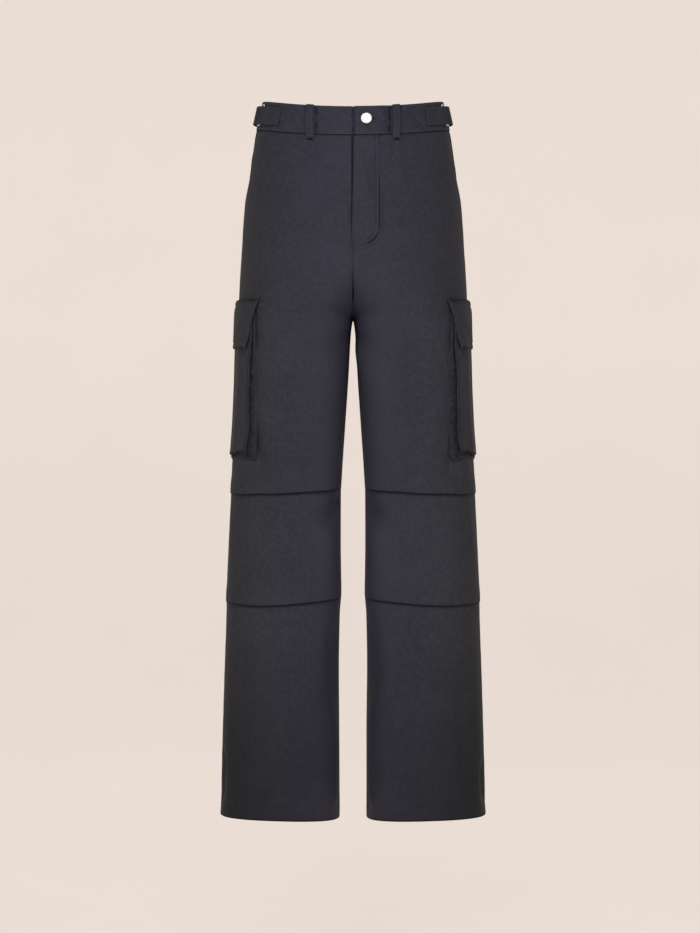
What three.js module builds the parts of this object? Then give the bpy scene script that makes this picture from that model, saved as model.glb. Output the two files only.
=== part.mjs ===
// Cargo trousers, filled out as worn, in millimetres, +Z up, with the front towards -Y.
// The origin is the middle of the waist opening, level with the band's top edge at the sides.
// A place on the cloth is given by its side, its height down the outseam, its distance along
// the cloth from the outseam (to the front above 0, to the back below 0) and how far out it is.
import * as THREE from 'three';

// Driving dimensions
const LENGTH = 1030;            // band's top edge to the hem, down the outseam
const WALL = 1.2;               // thickness of the twill
const GAP = 0.3;                // between neighbouring pieces
const BAND_HEIGHT = 41;
const BAND_OUT = 0.8;           // how far the band's face stands out from the panels' face
const BAND_THICK = 2.2;
const FRONT_DIP = 20;           // the band's edge is lower at the centre front than at the sides
const BACK_RISE = 6;
const DIP_END = -230;           // below this height the panels' rows are level
const HEM_TURN = 18;            // depth of the turned-up hem
const HEM_INNER_DROP = 5;       // the hem is lower at the inseam
const HEM_FRONT_RISE = 4;       // and higher in front
const CROTCH_ROUND = 12;        // columns ease into the inseam from this far beside it

const FLY_LAP = 1.5;            // how far the left front passes the middle
const FLY_UNDERLAP = 14;        // how far the right front reaches under it
const FLY_WIDTH = 38;
const FLY_END = -216;
const BAND_UNDERLAP = 36;
const ZIP_WIDTH = 26;

const LOOP_WIDTH = 10;
const LOOP_LENGTH = 49;
const LOOP_THICK = 1.6;
const FRONT_LOOP_X = 60;
const BACK_LOOP_X = 72;

const BUTTON_RADIUS = 8;
const BUTTON_X = 18.3;
const BUTTON_DOWN = 19;

const SLASH_INSET = 46;         // slash pocket: its edge's distance from the outseam at the band
const SLASH_END = -150;
const FACING_LAP = 22;
const FACING_GAP = 0.8;         // behind the front, whose facets lie inside its smooth form

const STRAP_TOP = -7;
const STRAP_HEIGHT = 26;
const STRAP_THICK = 0.9;
const FINE = 8;                 // longest step of a strip that lies round the band
const RING_MIDDLE = 30;         // along the band, in front of the outseam
const RING_WIDTH = 10;
const RING_WIRE = 2;
const RING_SLACK = 2.2;         // how much taller its window is than the strap
const RING_THICK = 1.5;
const RING_OUT = 2.65;          // how far its back stands off the panels' face

const POCKET_TOP = -306;
const POCKET_BOTTOM = -509;
const POCKET_DEPTH = 3;         // how far the empty pocket's face stands off the leg, on its inner side
const POCKET_TOP_HALF = 92;      // the face narrows from here
const POCKET_HALF = 82;          // to here, and the gusset fills the wedge beside it
const GUSSET_HALF = 97;          // half the width of the folded gusset's seam on the leg
const GUSSET_LOW = -518;
const GUSSET_LAP = 5;            // its other edge lies this far under the face
const FLAP_TOP = -289.5;
const FLAP_BOTTOM = -357;
const FLAP_FRONT_DROP = 4.5;     // the flap's front corner hangs lower

// Sections of one side of the body: distances of its outer and inner edge from the middle,
// and of its front and back; the inner edge is past the middle until the crotch
const SECTIONS = table(['height', 'outer', 'inner', 'front', 'back', 'power'], [
  [0, 130.6, -130.6, 88, 88, 2.1],
  [-41, 139.5, -139.5, 96, 98, 2.1],
  [-75, 145.1, -145.1, 103, 110, 2.12],
  [-112, 150, -150, 109, 121, 2.15],
  [-148, 155.6, -155.6, 113, 128, 2.2],
  [-184, 158.4, -154, 115, 131, 2.25],
  [-220, 160.4, -138, 115, 131, 2.3],
  [-240, 161.8, -114, 114.5, 130, 2.32],
  [-255, 162.6, -88, 114, 129, 2.33],
  [-268, 163.3, -62, 113.5, 128, 2.35],
  [-280, 163.8, -39, 112.5, 126.5, 2.36],
  [-290, 164.1, -23, 111.5, 125, 2.38],
  [-300, 164.4, -10.5, 110.5, 123, 2.4],
  [-307, 164.5, -4, 109.5, 121.5, 2.4],
  [-312.6, 164.6, 0, 109, 120.5, 2.4],
  [-320, 164.7, 2, 108.5, 119.5, 2.4],
  [-332, 164.8, 3.6, 108, 117.5, 2.4],
  [-351, 165, 5, 106, 115, 2.4],
  [-395, 165.6, 7.3, 102, 108, 2.4],
  [-460, 168.6, 11.6, 96, 99, 2.4],
  [-525, 174, 16, 91, 91, 2.4],
  [-566, 175.6, 18.4, 88, 87, 2.4],
  [-640, 179.2, 18.6, 84, 82, 2.4],
  [-712, 182, 18, 81, 79, 2.4],
  [-740, 182.4, 20, 80, 79, 2.4],
  [-830, 185.4, 21.4, 78, 78, 2.4],
  [-950, 189, 20.6, 77, 78, 2.4],
  [-1030, 191.4, 20.2, 77, 78, 2.4],
]);

// Knee tucks: the heights of the fold's edge at both seams, and how much lower its middle hangs
const TUCKS = table(['outer', 'inner', 'sag'], [
  [-563.6, -558, 6.7],
  [-719, -714, 8.5],
]);

// One tuck from above: the cloth steps out, folds under and up, then down again.
// Rises are above the fold's edge, outs are from the panel's face.
const TUCK_ROWS = table(['faceRise', 'faceOut', 'liningRise', 'liningOut'], [
  [30, 0, 30, -1.2],
  [22, 1.1, 22, -0.1],
  [15, 2.7, 15, 1.5],
  [7, 2.9, 7, 1.7],
  [0.9, 2.9, 1.3, 1.7],
  [0, 1.6, 1.3, 1.52],
  [0.9, 0.35, 1.3, 1.35],
  [11.2, 0.35, 12.2, 1.35],
  [11.2, 0.17, 12.9, 0.2],
  [11.2, 0, 12.2, -1.2],
  [-6, 0, -6, -1.2],
]);

// Heights of the panels' plain rows, above, between and below the tucks
const HIP_ROWS = [-41.3, -58, -76, -96, -122, -150, -175];
const FLY_END_ROWS = [-200, FLY_END, FLY_END - 7, FLY_END - 18];
const THIGH_ROWS = [-245, -258, -271, -283, -292, -300, -306, -310, -312.4, -315, -320, -332, -360,
  -400, -440, -485, -515];
const KNEE_ROWS = [-605, -650];
const SHIN_ROWS = [-800, -900, -1000, -1011, -1013, -LENGTH];
const BACK_SHIN_ROWS = [-560, -620, -700, -800, -900, -1000, -1013, -LENGTH];

// Places of a front panel's columns, as shares of its width from the outseam
const FRONT_COLUMNS = [0, 0.08, 0.17, 0.27, 0.37, 0.47, 0.57, 0.66, 0.74, 0.81, 0.88, 0.94, 1];
const BACK_COLUMNS = [0, 0.09, 0.19, 0.3, 0.42, 0.54, 0.66, 0.76, 0.84, 0.92, 1];

const SIDES = { right: -1, left: 1 };
const SECTION_STEPS = 72;

const twill = { color: 0x37363d, roughness: 0.72, metalness: 0 };
const twillDark = { color: 0x2b2a30, roughness: 0.8, metalness: 0 };
const silver = { color: 0xc9c9c7, roughness: 0.28, metalness: 1 };
const zipTape = { color: 0x222126, roughness: 0.7, metalness: 0 };

function table(names, rows) {
  return rows.map((row) => Object.fromEntries(names.map((name, i) => [name, row[i]])));
}

function mix(a, b, t) {
  return a + (b - a) * t;
}

// 0 at `from`, 1 at `to`, smooth at both
function ease(value, from, to) {
  const t = Math.min(1, Math.max(0, (value - from) / (to - from)));
  return t * t * (3 - 2 * t);
}

// A column of the section table at any height, with no overshoot between its rows
function size(name, height) {
  const rows = SECTIONS;
  const last = rows.length - 2;
  let i = rows.findIndex((row, k) => k > 0 && height >= row.height) - 1;
  if (i < 0) i = height > 0 ? 0 : last;
  const slope = (k) => (rows[k + 1][name] - rows[k][name]) / (rows[k + 1].height - rows[k].height);
  const tangent = (k) => {
    if (k === 0) return slope(0);
    if (k > last) return slope(last);
    const before = slope(k - 1);
    const after = slope(k);
    return before * after <= 0 ? 0 : (2 * before * after) / (before + after);
  };
  const span = rows[i + 1].height - rows[i].height;
  const t = Math.min(1, Math.max(0, (height - rows[i].height) / span));
  const [a, b] = [rows[i][name], rows[i + 1][name]];
  const [ta, tb] = [tangent(i) * span, tangent(i + 1) * span];
  return a + t * (ta + t * (3 * (b - a) - 2 * ta - tb + t * (2 * (a - b) + ta + tb)));
}

// Half a section, from the outseam round to the inner edge, with the length along it
function arc(height, depth, turn) {
  const power = 2 / size('power', height);
  const outer = size('outer', height);
  const inner = size('inner', height);
  const middle = (outer + inner) / 2;
  const half = (outer - inner) / 2;
  const places = [];
  for (let i = 0; i <= SECTION_STEPS; i += 1) {
    const angle = (Math.PI * i) / SECTION_STEPS;
    const across = Math.cos(angle);
    places.push({
      x: middle + half * Math.sign(across) * Math.abs(across) ** power,
      y: turn * depth * Math.abs(Math.sin(angle)) ** power,
      along: 0,
    });
  }
  places.forEach((place, i) => {
    if (i > 0) {
      const before = places[i - 1];
      place.along = before.along + Math.hypot(place.x - before.x, place.y - before.y);
    }
    const next = places[Math.min(i + 1, SECTION_STEPS)];
    const last = places[Math.max(i - 1, 0)];
    const edge = i === 0 || i === SECTION_STEPS;
    const dx = edge ? 0 : next.x - last.x;
    const dy = edge ? (i === 0 ? turn : -turn) : next.y - last.y;
    const length = Math.hypot(dx, dy);
    place.nx = (dy * turn) / length;
    place.ny = (-dx * turn) / length;
  });
  return places;
}

const sections = new Map();

function section(height) {
  const key = Math.round(height * 100);
  if (!sections.has(key)) {
    sections.set(key, {
      front: arc(height, size('front', height), -1),
      back: arc(height, size('back', height), 1),
    });
  }
  return sections.get(key);
}

// How far the rows leave the level: the band dips at the front, the hem drops to the inseam
function drop(height, x, y) {
  const depth = Math.abs(y) / size(y < 0 ? 'front' : 'back', height);
  const waist = (y < 0 ? -FRONT_DIP : BACK_RISE) * depth ** 1.6 * ease(height, DIP_END, -60);
  const inward = (size('outer', height) - x) / (size('outer', height) - size('inner', height));
  const rise = y < 0 ? HEM_FRONT_RISE * depth : 0;
  return waist + (rise - HEM_INNER_DROP * inward) * ease(height, -960, -LENGTH);
}

// The point of the cloth at a place
function skin(side, height, along, out = 0) {
  const half = section(height);
  const places = along >= 0 ? half.front : half.back;
  const reach = Math.abs(along);
  let i = places.findIndex((place) => place.along > reach);
  if (i < 0) i = places.length - 1;
  const [a, b] = [places[i - 1], places[i]];
  const t = (reach - a.along) / (b.along - a.along);
  const x = mix(a.x, b.x, t);
  const y = mix(a.y, b.y, t);
  const z = height + drop(height, x, y);
  return new THREE.Vector3(side * (x + mix(a.nx, b.nx, t) * out), y + mix(a.ny, b.ny, t) * out, z);
}

// Distance along the cloth from the outseam to the plane x = `stop`, or to the inseam
function girth(height, face, stop) {
  const places = section(height)[face];
  const i = places.findIndex((place) => place.x < stop);
  if (i < 0) return places[places.length - 1].along - GAP / 2;
  const [a, b] = [places[i - 1], places[i]];
  return mix(a.along, b.along, (stop - a.x) / (b.x - a.x));
}

// Distance of a panel's column: only those next to the middle follow the jump at the crotch
function columnAlong(height, face, stop, start, share) {
  const end = girth(height, face, stop);
  const near = girth(height, face, Math.max(stop, size('inner', height) + CROTCH_ROUND));
  return mix(start, near, share) + (end - near) * ease(share, 0.66, 1);
}

// A closed solid between two grids of points, one for each side of the cloth
function slab(face, lining) {
  const rows = face.length;
  const columns = face[0].length;
  const points = [...face.flat(), ...lining.flat()];
  const at = (layer, r, c) => (layer * rows + r) * columns + c;
  const index = [];
  const quad = (a, b, c, d) => index.push(a, b, c, a, c, d);
  for (let r = 0; r < rows - 1; r += 1) {
    for (let c = 0; c < columns - 1; c += 1) {
      quad(at(0, r, c), at(0, r + 1, c), at(0, r + 1, c + 1), at(0, r, c + 1));
      quad(at(1, r, c), at(1, r, c + 1), at(1, r + 1, c + 1), at(1, r + 1, c));
    }
    quad(at(1, r, 0), at(1, r + 1, 0), at(0, r + 1, 0), at(0, r, 0));
    quad(at(0, r, columns - 1), at(0, r + 1, columns - 1), at(1, r + 1, columns - 1), at(1, r, columns - 1));
  }
  for (let c = 0; c < columns - 1; c += 1) {
    quad(at(0, 0, c), at(0, 0, c + 1), at(1, 0, c + 1), at(1, 0, c));
    quad(at(1, rows - 1, c), at(1, rows - 1, c + 1), at(0, rows - 1, c + 1), at(0, rows - 1, c));
  }
  let volume = 0;
  for (let i = 0; i < index.length; i += 3) {
    const [a, b, c] = [points[index[i]], points[index[i + 1]], points[index[i + 2]]];
    volume += a.dot(b.clone().cross(c));
  }
  if (volume < 0) index.reverse();
  const geometry = new THREE.BufferGeometry().setFromPoints(points);
  geometry.setIndex(index);
  geometry.computeVertexNormals();
  return geometry;
}

// A slab from rows of {face, lining} and a function that places one point of a row
function sheet(rows, columns, place) {
  const grid = (layer) => rows.map((row) => columns.map((column) => place(row, column, row[layer])));
  return slab(grid('face'), grid('lining'));
}

function pieceOf(name, geometry, look) {
  const mesh = new THREE.Mesh(geometry, new THREE.MeshStandardMaterial(look));
  mesh.name = name;
  return mesh;
}

function range(from, to, steps) {
  return Array.from({ length: steps + 1 }, (_, i) => mix(from, to, i / steps));
}

const hemmed = (height) => (height < HEM_TURN - LENGTH ? 2 * WALL + 0.1 : WALL);
const plainRow = (height) => ({ face: [height, 0], lining: [height, -hemmed(height)] });

function tuckRows(tuck) {
  const edge = (tuck.outer + tuck.inner) / 2;
  return TUCK_ROWS.map((row) => ({
    face: [edge + row.faceRise, row.faceOut],
    lining: [edge + row.liningRise, row.liningOut],
  }));
}

// Rows near a tuck follow its hanging edge
function tucked(height, share) {
  return TUCKS.reduce((sum, tuck) => {
    const edge = (tuck.outer + tuck.inner) / 2;
    const line = mix(tuck.outer, tuck.inner, share) - tuck.sag * Math.sin(Math.PI * share);
    return sum + (line - edge) * (1 - ease(Math.abs(height - edge), 25, 70));
  }, height);
}

// The slash pocket's edge, as a distance from the outseam
function slashEdge(height) {
  const down = (height + BAND_HEIGHT) / (SLASH_END + BAND_HEIGHT);
  return down >= 1 ? GAP / 2 : mix(SLASH_INSET, 2, Math.max(0, down));
}

function frontPanel(side) {
  const over = side === SIDES.left;
  const rows = [...[...HIP_ROWS, ...FLY_END_ROWS, ...THIGH_ROWS].map(plainRow),
    ...tuckRows(TUCKS[0]), ...KNEE_ROWS.map(plainRow), ...tuckRows(TUCKS[1]),
    ...SHIN_ROWS.map(plainRow)];
  return sheet(rows, FRONT_COLUMNS, (row, share, [level, out]) => {
    const height = tucked(level, share);
    const fly = level >= FLY_END;
    const stop = fly ? -(over ? FLY_LAP : FLY_UNDERLAP) : GAP / 2;
    const edge = slashEdge(height);
    const along = columnAlong(height, 'front', stop, edge, share);
    const fromMiddle = girth(height, 'front', 0) - along;
    const lap = over ? (WALL + GAP) * ease(fromMiddle, FLY_WIDTH + 8, FLY_WIDTH - 6) : 0;
    return skin(side, height, along, out + lap * ease(height, FLY_END - 18, FLY_END - 5));
  });
}

function backPanel(side) {
  const rows = [...HIP_ROWS, -205, ...THIGH_ROWS, ...BACK_SHIN_ROWS].map(plainRow);
  return sheet(rows, BACK_COLUMNS, (row, share, [height, out]) => {
    const along = columnAlong(height, 'back', GAP / 2, GAP / 2, share);
    return skin(side, height, -along, out);
  });
}

// The band runs from its lapping end at the left front, round the back, to the end beneath it
function waistband() {
  const inside = BAND_OUT - BAND_THICK;
  const rows = table(['face', 'lining'], [
    [[0, BAND_OUT - 0.6], [0, inside + 0.5]],
    [[-1.6, BAND_OUT], [-1.6, inside]],
    [[-21, BAND_OUT], [-21, inside]],
    [[-BAND_HEIGHT, BAND_OUT], [-BAND_HEIGHT, inside]],
  ]);
  const steps = 23;
  const columns = [
    ...range(1, -1, steps).map((share) => ({ side: SIDES.left, share })),
    ...range(-1, 1, steps).slice(1).map((share) => ({ side: SIDES.right, share })),
  ];
  return sheet(rows, columns, (row, { side, share }, [height, out]) => {
    const lap = side === SIDES.left ? FLY_LAP : BAND_UNDERLAP;
    const front = girth(height, 'front', -lap);
    const back = girth(height, 'back', 0);
    const along = share >= 0 ? share * front : share * back;
    const fromMiddle = girth(height, 'front', 0) - along;
    const over = side === SIDES.left ? ease(fromMiddle, BAND_UNDERLAP + 16, BAND_UNDERLAP + 3) : 0;
    return skin(side, height, along, out + over * (BAND_THICK + GAP));
  });
}

function beltLoop(side, face, x) {
  const outs = table(['down', 'out'], [
    [0.5, 0], [4, 0.5], [12, 2], [24, 2.4], [37, 1.7], [44, 0.4], [LOOP_LENGTH, 0],
  ]);
  const seat = BAND_OUT + GAP;
  const rows = outs.map(({ down, out }) => ({
    face: [-down, seat + out + LOOP_THICK],
    lining: [-down, seat + out],
  }));
  const sign = face === 'front' ? 1 : -1;
  return sheet(rows, [-LOOP_WIDTH / 2, LOOP_WIDTH / 2], (row, across, [height, out]) => (
    skin(side, height, sign * girth(height, face, x + across), out)
  ));
}

function slashFacing(side) {
  const rows = [...HIP_ROWS.slice(0, 6), -158].map((height) => ({
    face: [height, -WALL - FACING_GAP],
    lining: [height, -2 * WALL - FACING_GAP],
  }));
  return sheet(rows, range(0, 1, 4), (row, share, [height, out]) => (
    skin(side, height, mix(GAP / 2, slashEdge(height) + FACING_LAP, share), out)
  ));
}

function flyZip(side) {
  const rows = range(-41.3 - GAP, FLY_END + 6, 8).map((height) => ({
    face: [height, -WALL - GAP],
    lining: [height, -2 * WALL - GAP],
  }));
  return sheet(rows, range(-ZIP_WIDTH / 2, ZIP_WIDTH / 2, 3), (row, across, [height, out]) => (
    skin(side, height, girth(height, 'front', 0) + across, out)
  ));
}

// A path with no step along the cloth longer than FINE
function fine(path) {
  return path.flatMap((to, i) => {
    if (i === 0) return [to];
    const from = path[i - 1];
    const steps = Math.ceil(Math.abs(to.along - from.along) / FINE);
    return range(0, 1, Math.max(1, steps)).slice(1).map((t) => ({
      along: mix(from.along, to.along, t),
      out: mix(from.out, to.out, t),
    }));
  });
}

// A strip standing on the band, from places along it and how far out its middle is
function strip(side, corners, slant = 0) {
  const path = fine(corners);
  const rows = path.map(({ along, out }, i) => {
    const before = path[Math.max(0, i - 1)];
    const after = path[Math.min(path.length - 1, i + 1)];
    const length = Math.hypot(after.along - before.along, after.out - before.out);
    const shift = STRAP_THICK / 2 / length;
    const [da, db] = [(after.out - before.out) * shift, (after.along - before.along) * shift];
    return { face: [along - da, out + db], lining: [along + da, out - db], end: i === path.length - 1 };
  });
  return sheet(rows, [0, 0.5, 1], (row, share, [along, out]) => (
    skin(side, STRAP_TOP - share * STRAP_HEIGHT, RING_MIDDLE + along - (row.end ? slant * share : 0), out)
  ));
}

// Both straps' places along are from the ring's middle
function adjusterTab(side) {
  return strip(side, table(['along', 'out'], [
    [34, 1.6], [18, 1.6], [7, 1.6], [2.6, 1.6], [1.2, 3.4], [2.6, 5.3], [6, 5.5], [16, 3], [28, 2.8],
    [41, 2.8],
  ]), -4);
}

function adjusterStrap(side) {
  return strip(side, table(['along', 'out'], [
    [-66, 1.6], [-46, 1.6], [-28, 1.6], [-6, 1.6], [-2.6, 1.6], [-1.2, 3.4], [-2.6, 5.3], [-6, 5.5],
    [-18, 5.4], [-30, 3.2], [-50, 2.8],
  ]));
}

// A thing whose own +Z stands out from the cloth and whose own +Y runs up it
function seated(mesh, side, height, along, out) {
  const foot = skin(side, height, along, out);
  const up = skin(side, height + 1, along, out).sub(foot).normalize();
  const outward = skin(side, height, along, out + 1).sub(foot);
  outward.addScaledVector(up, -up.dot(outward)).normalize();
  const basis = new THREE.Matrix4().makeBasis(up.clone().cross(outward), up, outward);
  mesh.quaternion.setFromRotationMatrix(basis);
  mesh.position.copy(foot);
  return mesh;
}

function roundedOutline(path, width, height, radius) {
  const [w, h] = [width / 2, height / 2];
  path.moveTo(w, h - radius);
  path.absarc(w - radius, h - radius, radius, 0, Math.PI / 2);
  path.absarc(radius - w, h - radius, radius, Math.PI / 2, Math.PI);
  path.absarc(radius - w, radius - h, radius, Math.PI, 1.5 * Math.PI);
  path.absarc(w - radius, radius - h, radius, 1.5 * Math.PI, 2 * Math.PI);
  return path;
}

function adjusterRing(name, side) {
  const tall = STRAP_HEIGHT + RING_SLACK + 2 * RING_WIRE;
  const outline = roundedOutline(new THREE.Shape(), RING_WIDTH, tall, 2);
  const hole = [RING_WIDTH - 2 * RING_WIRE, tall - 2 * RING_WIRE];
  outline.holes.push(roundedOutline(new THREE.Path(), ...hole, 0.8));
  const geometry = new THREE.ExtrudeGeometry(outline, {
    depth: RING_THICK, bevelEnabled: false, curveSegments: 3,
  });
  const mesh = pieceOf(name, geometry, silver);
  return seated(mesh, side, STRAP_TOP - STRAP_HEIGHT / 2, RING_MIDDLE, RING_OUT);
}

function flyButton() {
  const profile = [[0, 0], [3, 0], [3, 1.4], [6.4, 1.4], [7.6, 1.9], [8, 2.7], [7.6, 3.4], [6.3, 3.6],
    [5.2, 3.1], [2.5, 3.1], [0, 3.3]].map(([r, z]) => new THREE.Vector2((r * BUTTON_RADIUS) / 8, z));
  const geometry = new THREE.LatheGeometry(profile, 20).rotateX(Math.PI / 2);
  const along = girth(-BUTTON_DOWN, 'front', BUTTON_X);
  const out = BAND_OUT + BAND_THICK + 2 * GAP;
  return seated(pieceOf('fly_button', geometry, silver), SIDES.left, -BUTTON_DOWN, along, out);
}

function pocketHalf(height) {
  return mix(POCKET_TOP_HALF, POCKET_HALF, ease(height, -320, -420));
}

function pocketFace(side) {
  const rows = [POCKET_TOP, -320, -345, -370, -395, -420, -460, -500, POCKET_BOTTOM].map((height) => ({
    face: [height, POCKET_DEPTH + WALL],
    lining: [height, POCKET_DEPTH],
  }));
  return sheet(rows, range(-1, 1, 12), (row, share, [height, out]) => {
    const half = pocketHalf(height) - 4 * ease(height, -499, POCKET_BOTTOM);
    return skin(side, height, share * half, out);
  });
}

// The bellows lies folded flat, down one edge of the pocket's face, along its bottom and up the other
function pocketGusset(side) {
  const down = [POCKET_TOP, -325, -345, -370, -395, -420, -460, -495];
  const beside = (sign) => (height) => ({
    outer: [sign * GUSSET_HALF, height],
    inner: [sign * (pocketHalf(height) - GUSSET_LAP), height],
  });
  const corner = (sign) => ({
    outer: [sign * (GUSSET_HALF - 3), GUSSET_LOW + 3],
    inner: [sign * (POCKET_HALF - GUSSET_LAP), POCKET_BOTTOM + GUSSET_LAP],
  });
  const under = range(1, -1, 10).map((share) => ({
    outer: [share * (GUSSET_HALF - 10), GUSSET_LOW],
    inner: [share * (POCKET_HALF - 2 * GUSSET_LAP), POCKET_BOTTOM + GUSSET_LAP],
  }));
  const rows = [...down.map(beside(1)), corner(1), ...under, corner(-1), ...down.reverse().map(beside(-1))]
    .map((ends) => ({ ends, face: WALL, lining: 0 }));
  return sheet(rows, [0, 0.5, 1], ({ ends: { outer, inner } }, share, thickness) => {
    const out = mix(GAP + 0.5, POCKET_DEPTH - WALL - 2 * GAP, share) + thickness;
    return skin(side, mix(outer[1], inner[1], share), mix(outer[0], inner[0], share), out);
  });
}

function pocketFlap(side) {
  const rows = table(['height', 'out', 'half'], [
    [FLAP_TOP, 0.5, 103], [-293, 1.2, 102], [-299, 3.8, 100.5], [-304.5, 5.3, 99], [-325, 5.3, 93],
    [-342, 5.5, 88], [FLAP_BOTTOM, 6.1, 84],
  ]).map(({ height, out, half }) => ({
    half, face: [height, out + 1.3], lining: [height, out],
  }));
  return sheet(rows, range(-1, 1, 12), (row, share, [height, out]) => (
    skin(side, height - FLAP_FRONT_DROP * Math.max(0, share) ** 2, share * row.half, out)
  ));
}

const trousers = new THREE.Group();
trousers.add(pieceOf('waistband', waistband(), twill));
for (const [name, side] of Object.entries(SIDES)) {
  trousers.add(pieceOf(`front_${name}`, frontPanel(side), twill));
  trousers.add(pieceOf(`back_${name}`, backPanel(side), twill));
  trousers.add(pieceOf(`slash_facing_${name}`, slashFacing(side), twillDark));
  trousers.add(pieceOf(`belt_loop_front_${name}`, beltLoop(side, 'front', FRONT_LOOP_X), twill));
  trousers.add(pieceOf(`belt_loop_back_${name}`, beltLoop(side, 'back', BACK_LOOP_X), twill));
  trousers.add(pieceOf(`adjuster_tab_${name}`, adjusterTab(side), twill));
  trousers.add(adjusterRing(`adjuster_ring_${name}`, side));
  trousers.add(pieceOf(`adjuster_strap_${name}`, adjusterStrap(side), twill));
  trousers.add(pieceOf(`cargo_pocket_face_${name}`, pocketFace(side), twill));
  trousers.add(pieceOf(`cargo_pocket_gusset_${name}`, pocketGusset(side), twillDark));
  trousers.add(pieceOf(`cargo_flap_${name}`, pocketFlap(side), twill));
}
trousers.add(pieceOf('belt_loop_back_centre', beltLoop(SIDES.left, 'back', 0), twill));
trousers.add(pieceOf('fly_zip', flyZip(SIDES.right), zipTape));
trousers.add(flyButton());

export default trousers;
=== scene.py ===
"""Cargo trousers, filled out as worn, dressed over their fixed frame.

Tables and sizes of the cloth are in millimetres, and meshes in metres. A place on the cloth is
its side, its height down the outseam, its distance along the cloth from the outseam (to the
front above 0, to the back below 0), and how far out it is from the panels' face.
"""
import math

import bmesh
import bpy
import numpy as np
from mathutils import Matrix, Vector


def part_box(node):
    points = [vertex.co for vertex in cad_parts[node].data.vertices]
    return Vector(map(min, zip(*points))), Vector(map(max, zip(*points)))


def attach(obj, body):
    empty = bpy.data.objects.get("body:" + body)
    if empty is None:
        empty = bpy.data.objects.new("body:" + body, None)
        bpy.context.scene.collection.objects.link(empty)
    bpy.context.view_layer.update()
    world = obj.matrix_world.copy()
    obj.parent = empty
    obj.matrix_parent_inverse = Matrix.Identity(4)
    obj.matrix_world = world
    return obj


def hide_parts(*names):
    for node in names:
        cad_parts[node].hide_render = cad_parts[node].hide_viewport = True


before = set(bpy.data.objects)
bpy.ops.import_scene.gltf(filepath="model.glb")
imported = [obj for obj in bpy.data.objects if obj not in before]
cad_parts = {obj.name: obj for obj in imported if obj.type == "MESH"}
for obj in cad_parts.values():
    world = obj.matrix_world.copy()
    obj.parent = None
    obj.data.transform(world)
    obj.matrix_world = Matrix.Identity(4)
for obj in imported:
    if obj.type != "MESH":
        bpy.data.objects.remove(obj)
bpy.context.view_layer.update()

bl_info = {
    "name": "Cargo trousers",
    "version": (1, 0, 0),
    "blender": (4, 5, 0),
    "location": "View3D > Sidebar > Trousers",
    "description": "Charcoal cargo trousers, filled out as worn",
    "category": "Add Mesh",
}

MM = 0.001
SIDES = {"right": -1, "left": 1}
TURN = {"front": 1, "back": -1}    # sign of a distance along

# Sizes shared with the solids
LENGTH = 1030
BAND_HEIGHT = 41
BAND_OUT = 0.8
BAND_IN = -1.4
FRONT_DIP = 20
BACK_RISE = 6
DIP_END = -230
HEM_TURN = 18
HEM_INNER_DROP = 5
HEM_FRONT_RISE = 4
CROTCH_ROUND = 12
SEAM_HALF = 0.15
FLY_LAP = 1.5
FLY_SHORT = 1.4
FLY_UNDERLAP = 14
FLY_WIDTH = 38
FLY_END = -216
FLY_RAISE = 1.5
FLY_STITCHES = (0, 5.6)
FLY_CORNER = 30.0
FLY_TALL = 1.1                     # height of the corner for its width
BAND_UNDERLAP = 36
BAND_RAISE = 2.5
ZIP_WIDTH = 26
LOOP_OUT = BAND_OUT + 0.3 + 1.6    # a gap, and the loop's thickness
FRONT_LOOP_X = 60
BACK_LOOP_X = 72
BUTTON_X = 18.3
BUTTON_DOWN = 19
BUTTON_OUT = 2.8
BUTTONHOLE_END = 11.5
SLASH_INSET = 46
SLASH_END = -150
FACING_LAP = 22
STRAP_TOP = -7
STRAP_HEIGHT = 26
STRAP_THICK = 0.9
RING_MIDDLE = 30
RING_WIDTH = 10
RING_WIRE = 2
RING_SLACK = 2.2
RING_THICK = 1.5
RING_OUT = 2.65
POCKET_TOP = -306
POCKET_BOTTOM = -509
POCKET_DEPTH = 3
POCKET_TOP_HALF = 92
POCKET_HALF = 82
GUSSET_HALF = 95
GUSSET_LOW = -518
GUSSET_LAP = 5
FLAP_BOTTOM = -357
FLAP_FRONT_DROP = 4.5
FLAP_SEWN = -297.5
FLAP_SEWN_IN = 6.8

# Spacing of the grids
PANEL_WIDTH = 300
FRONT_STEP = 1.3
BACK_STEP = 3.4
BAND_COLUMNS = 220

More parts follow.
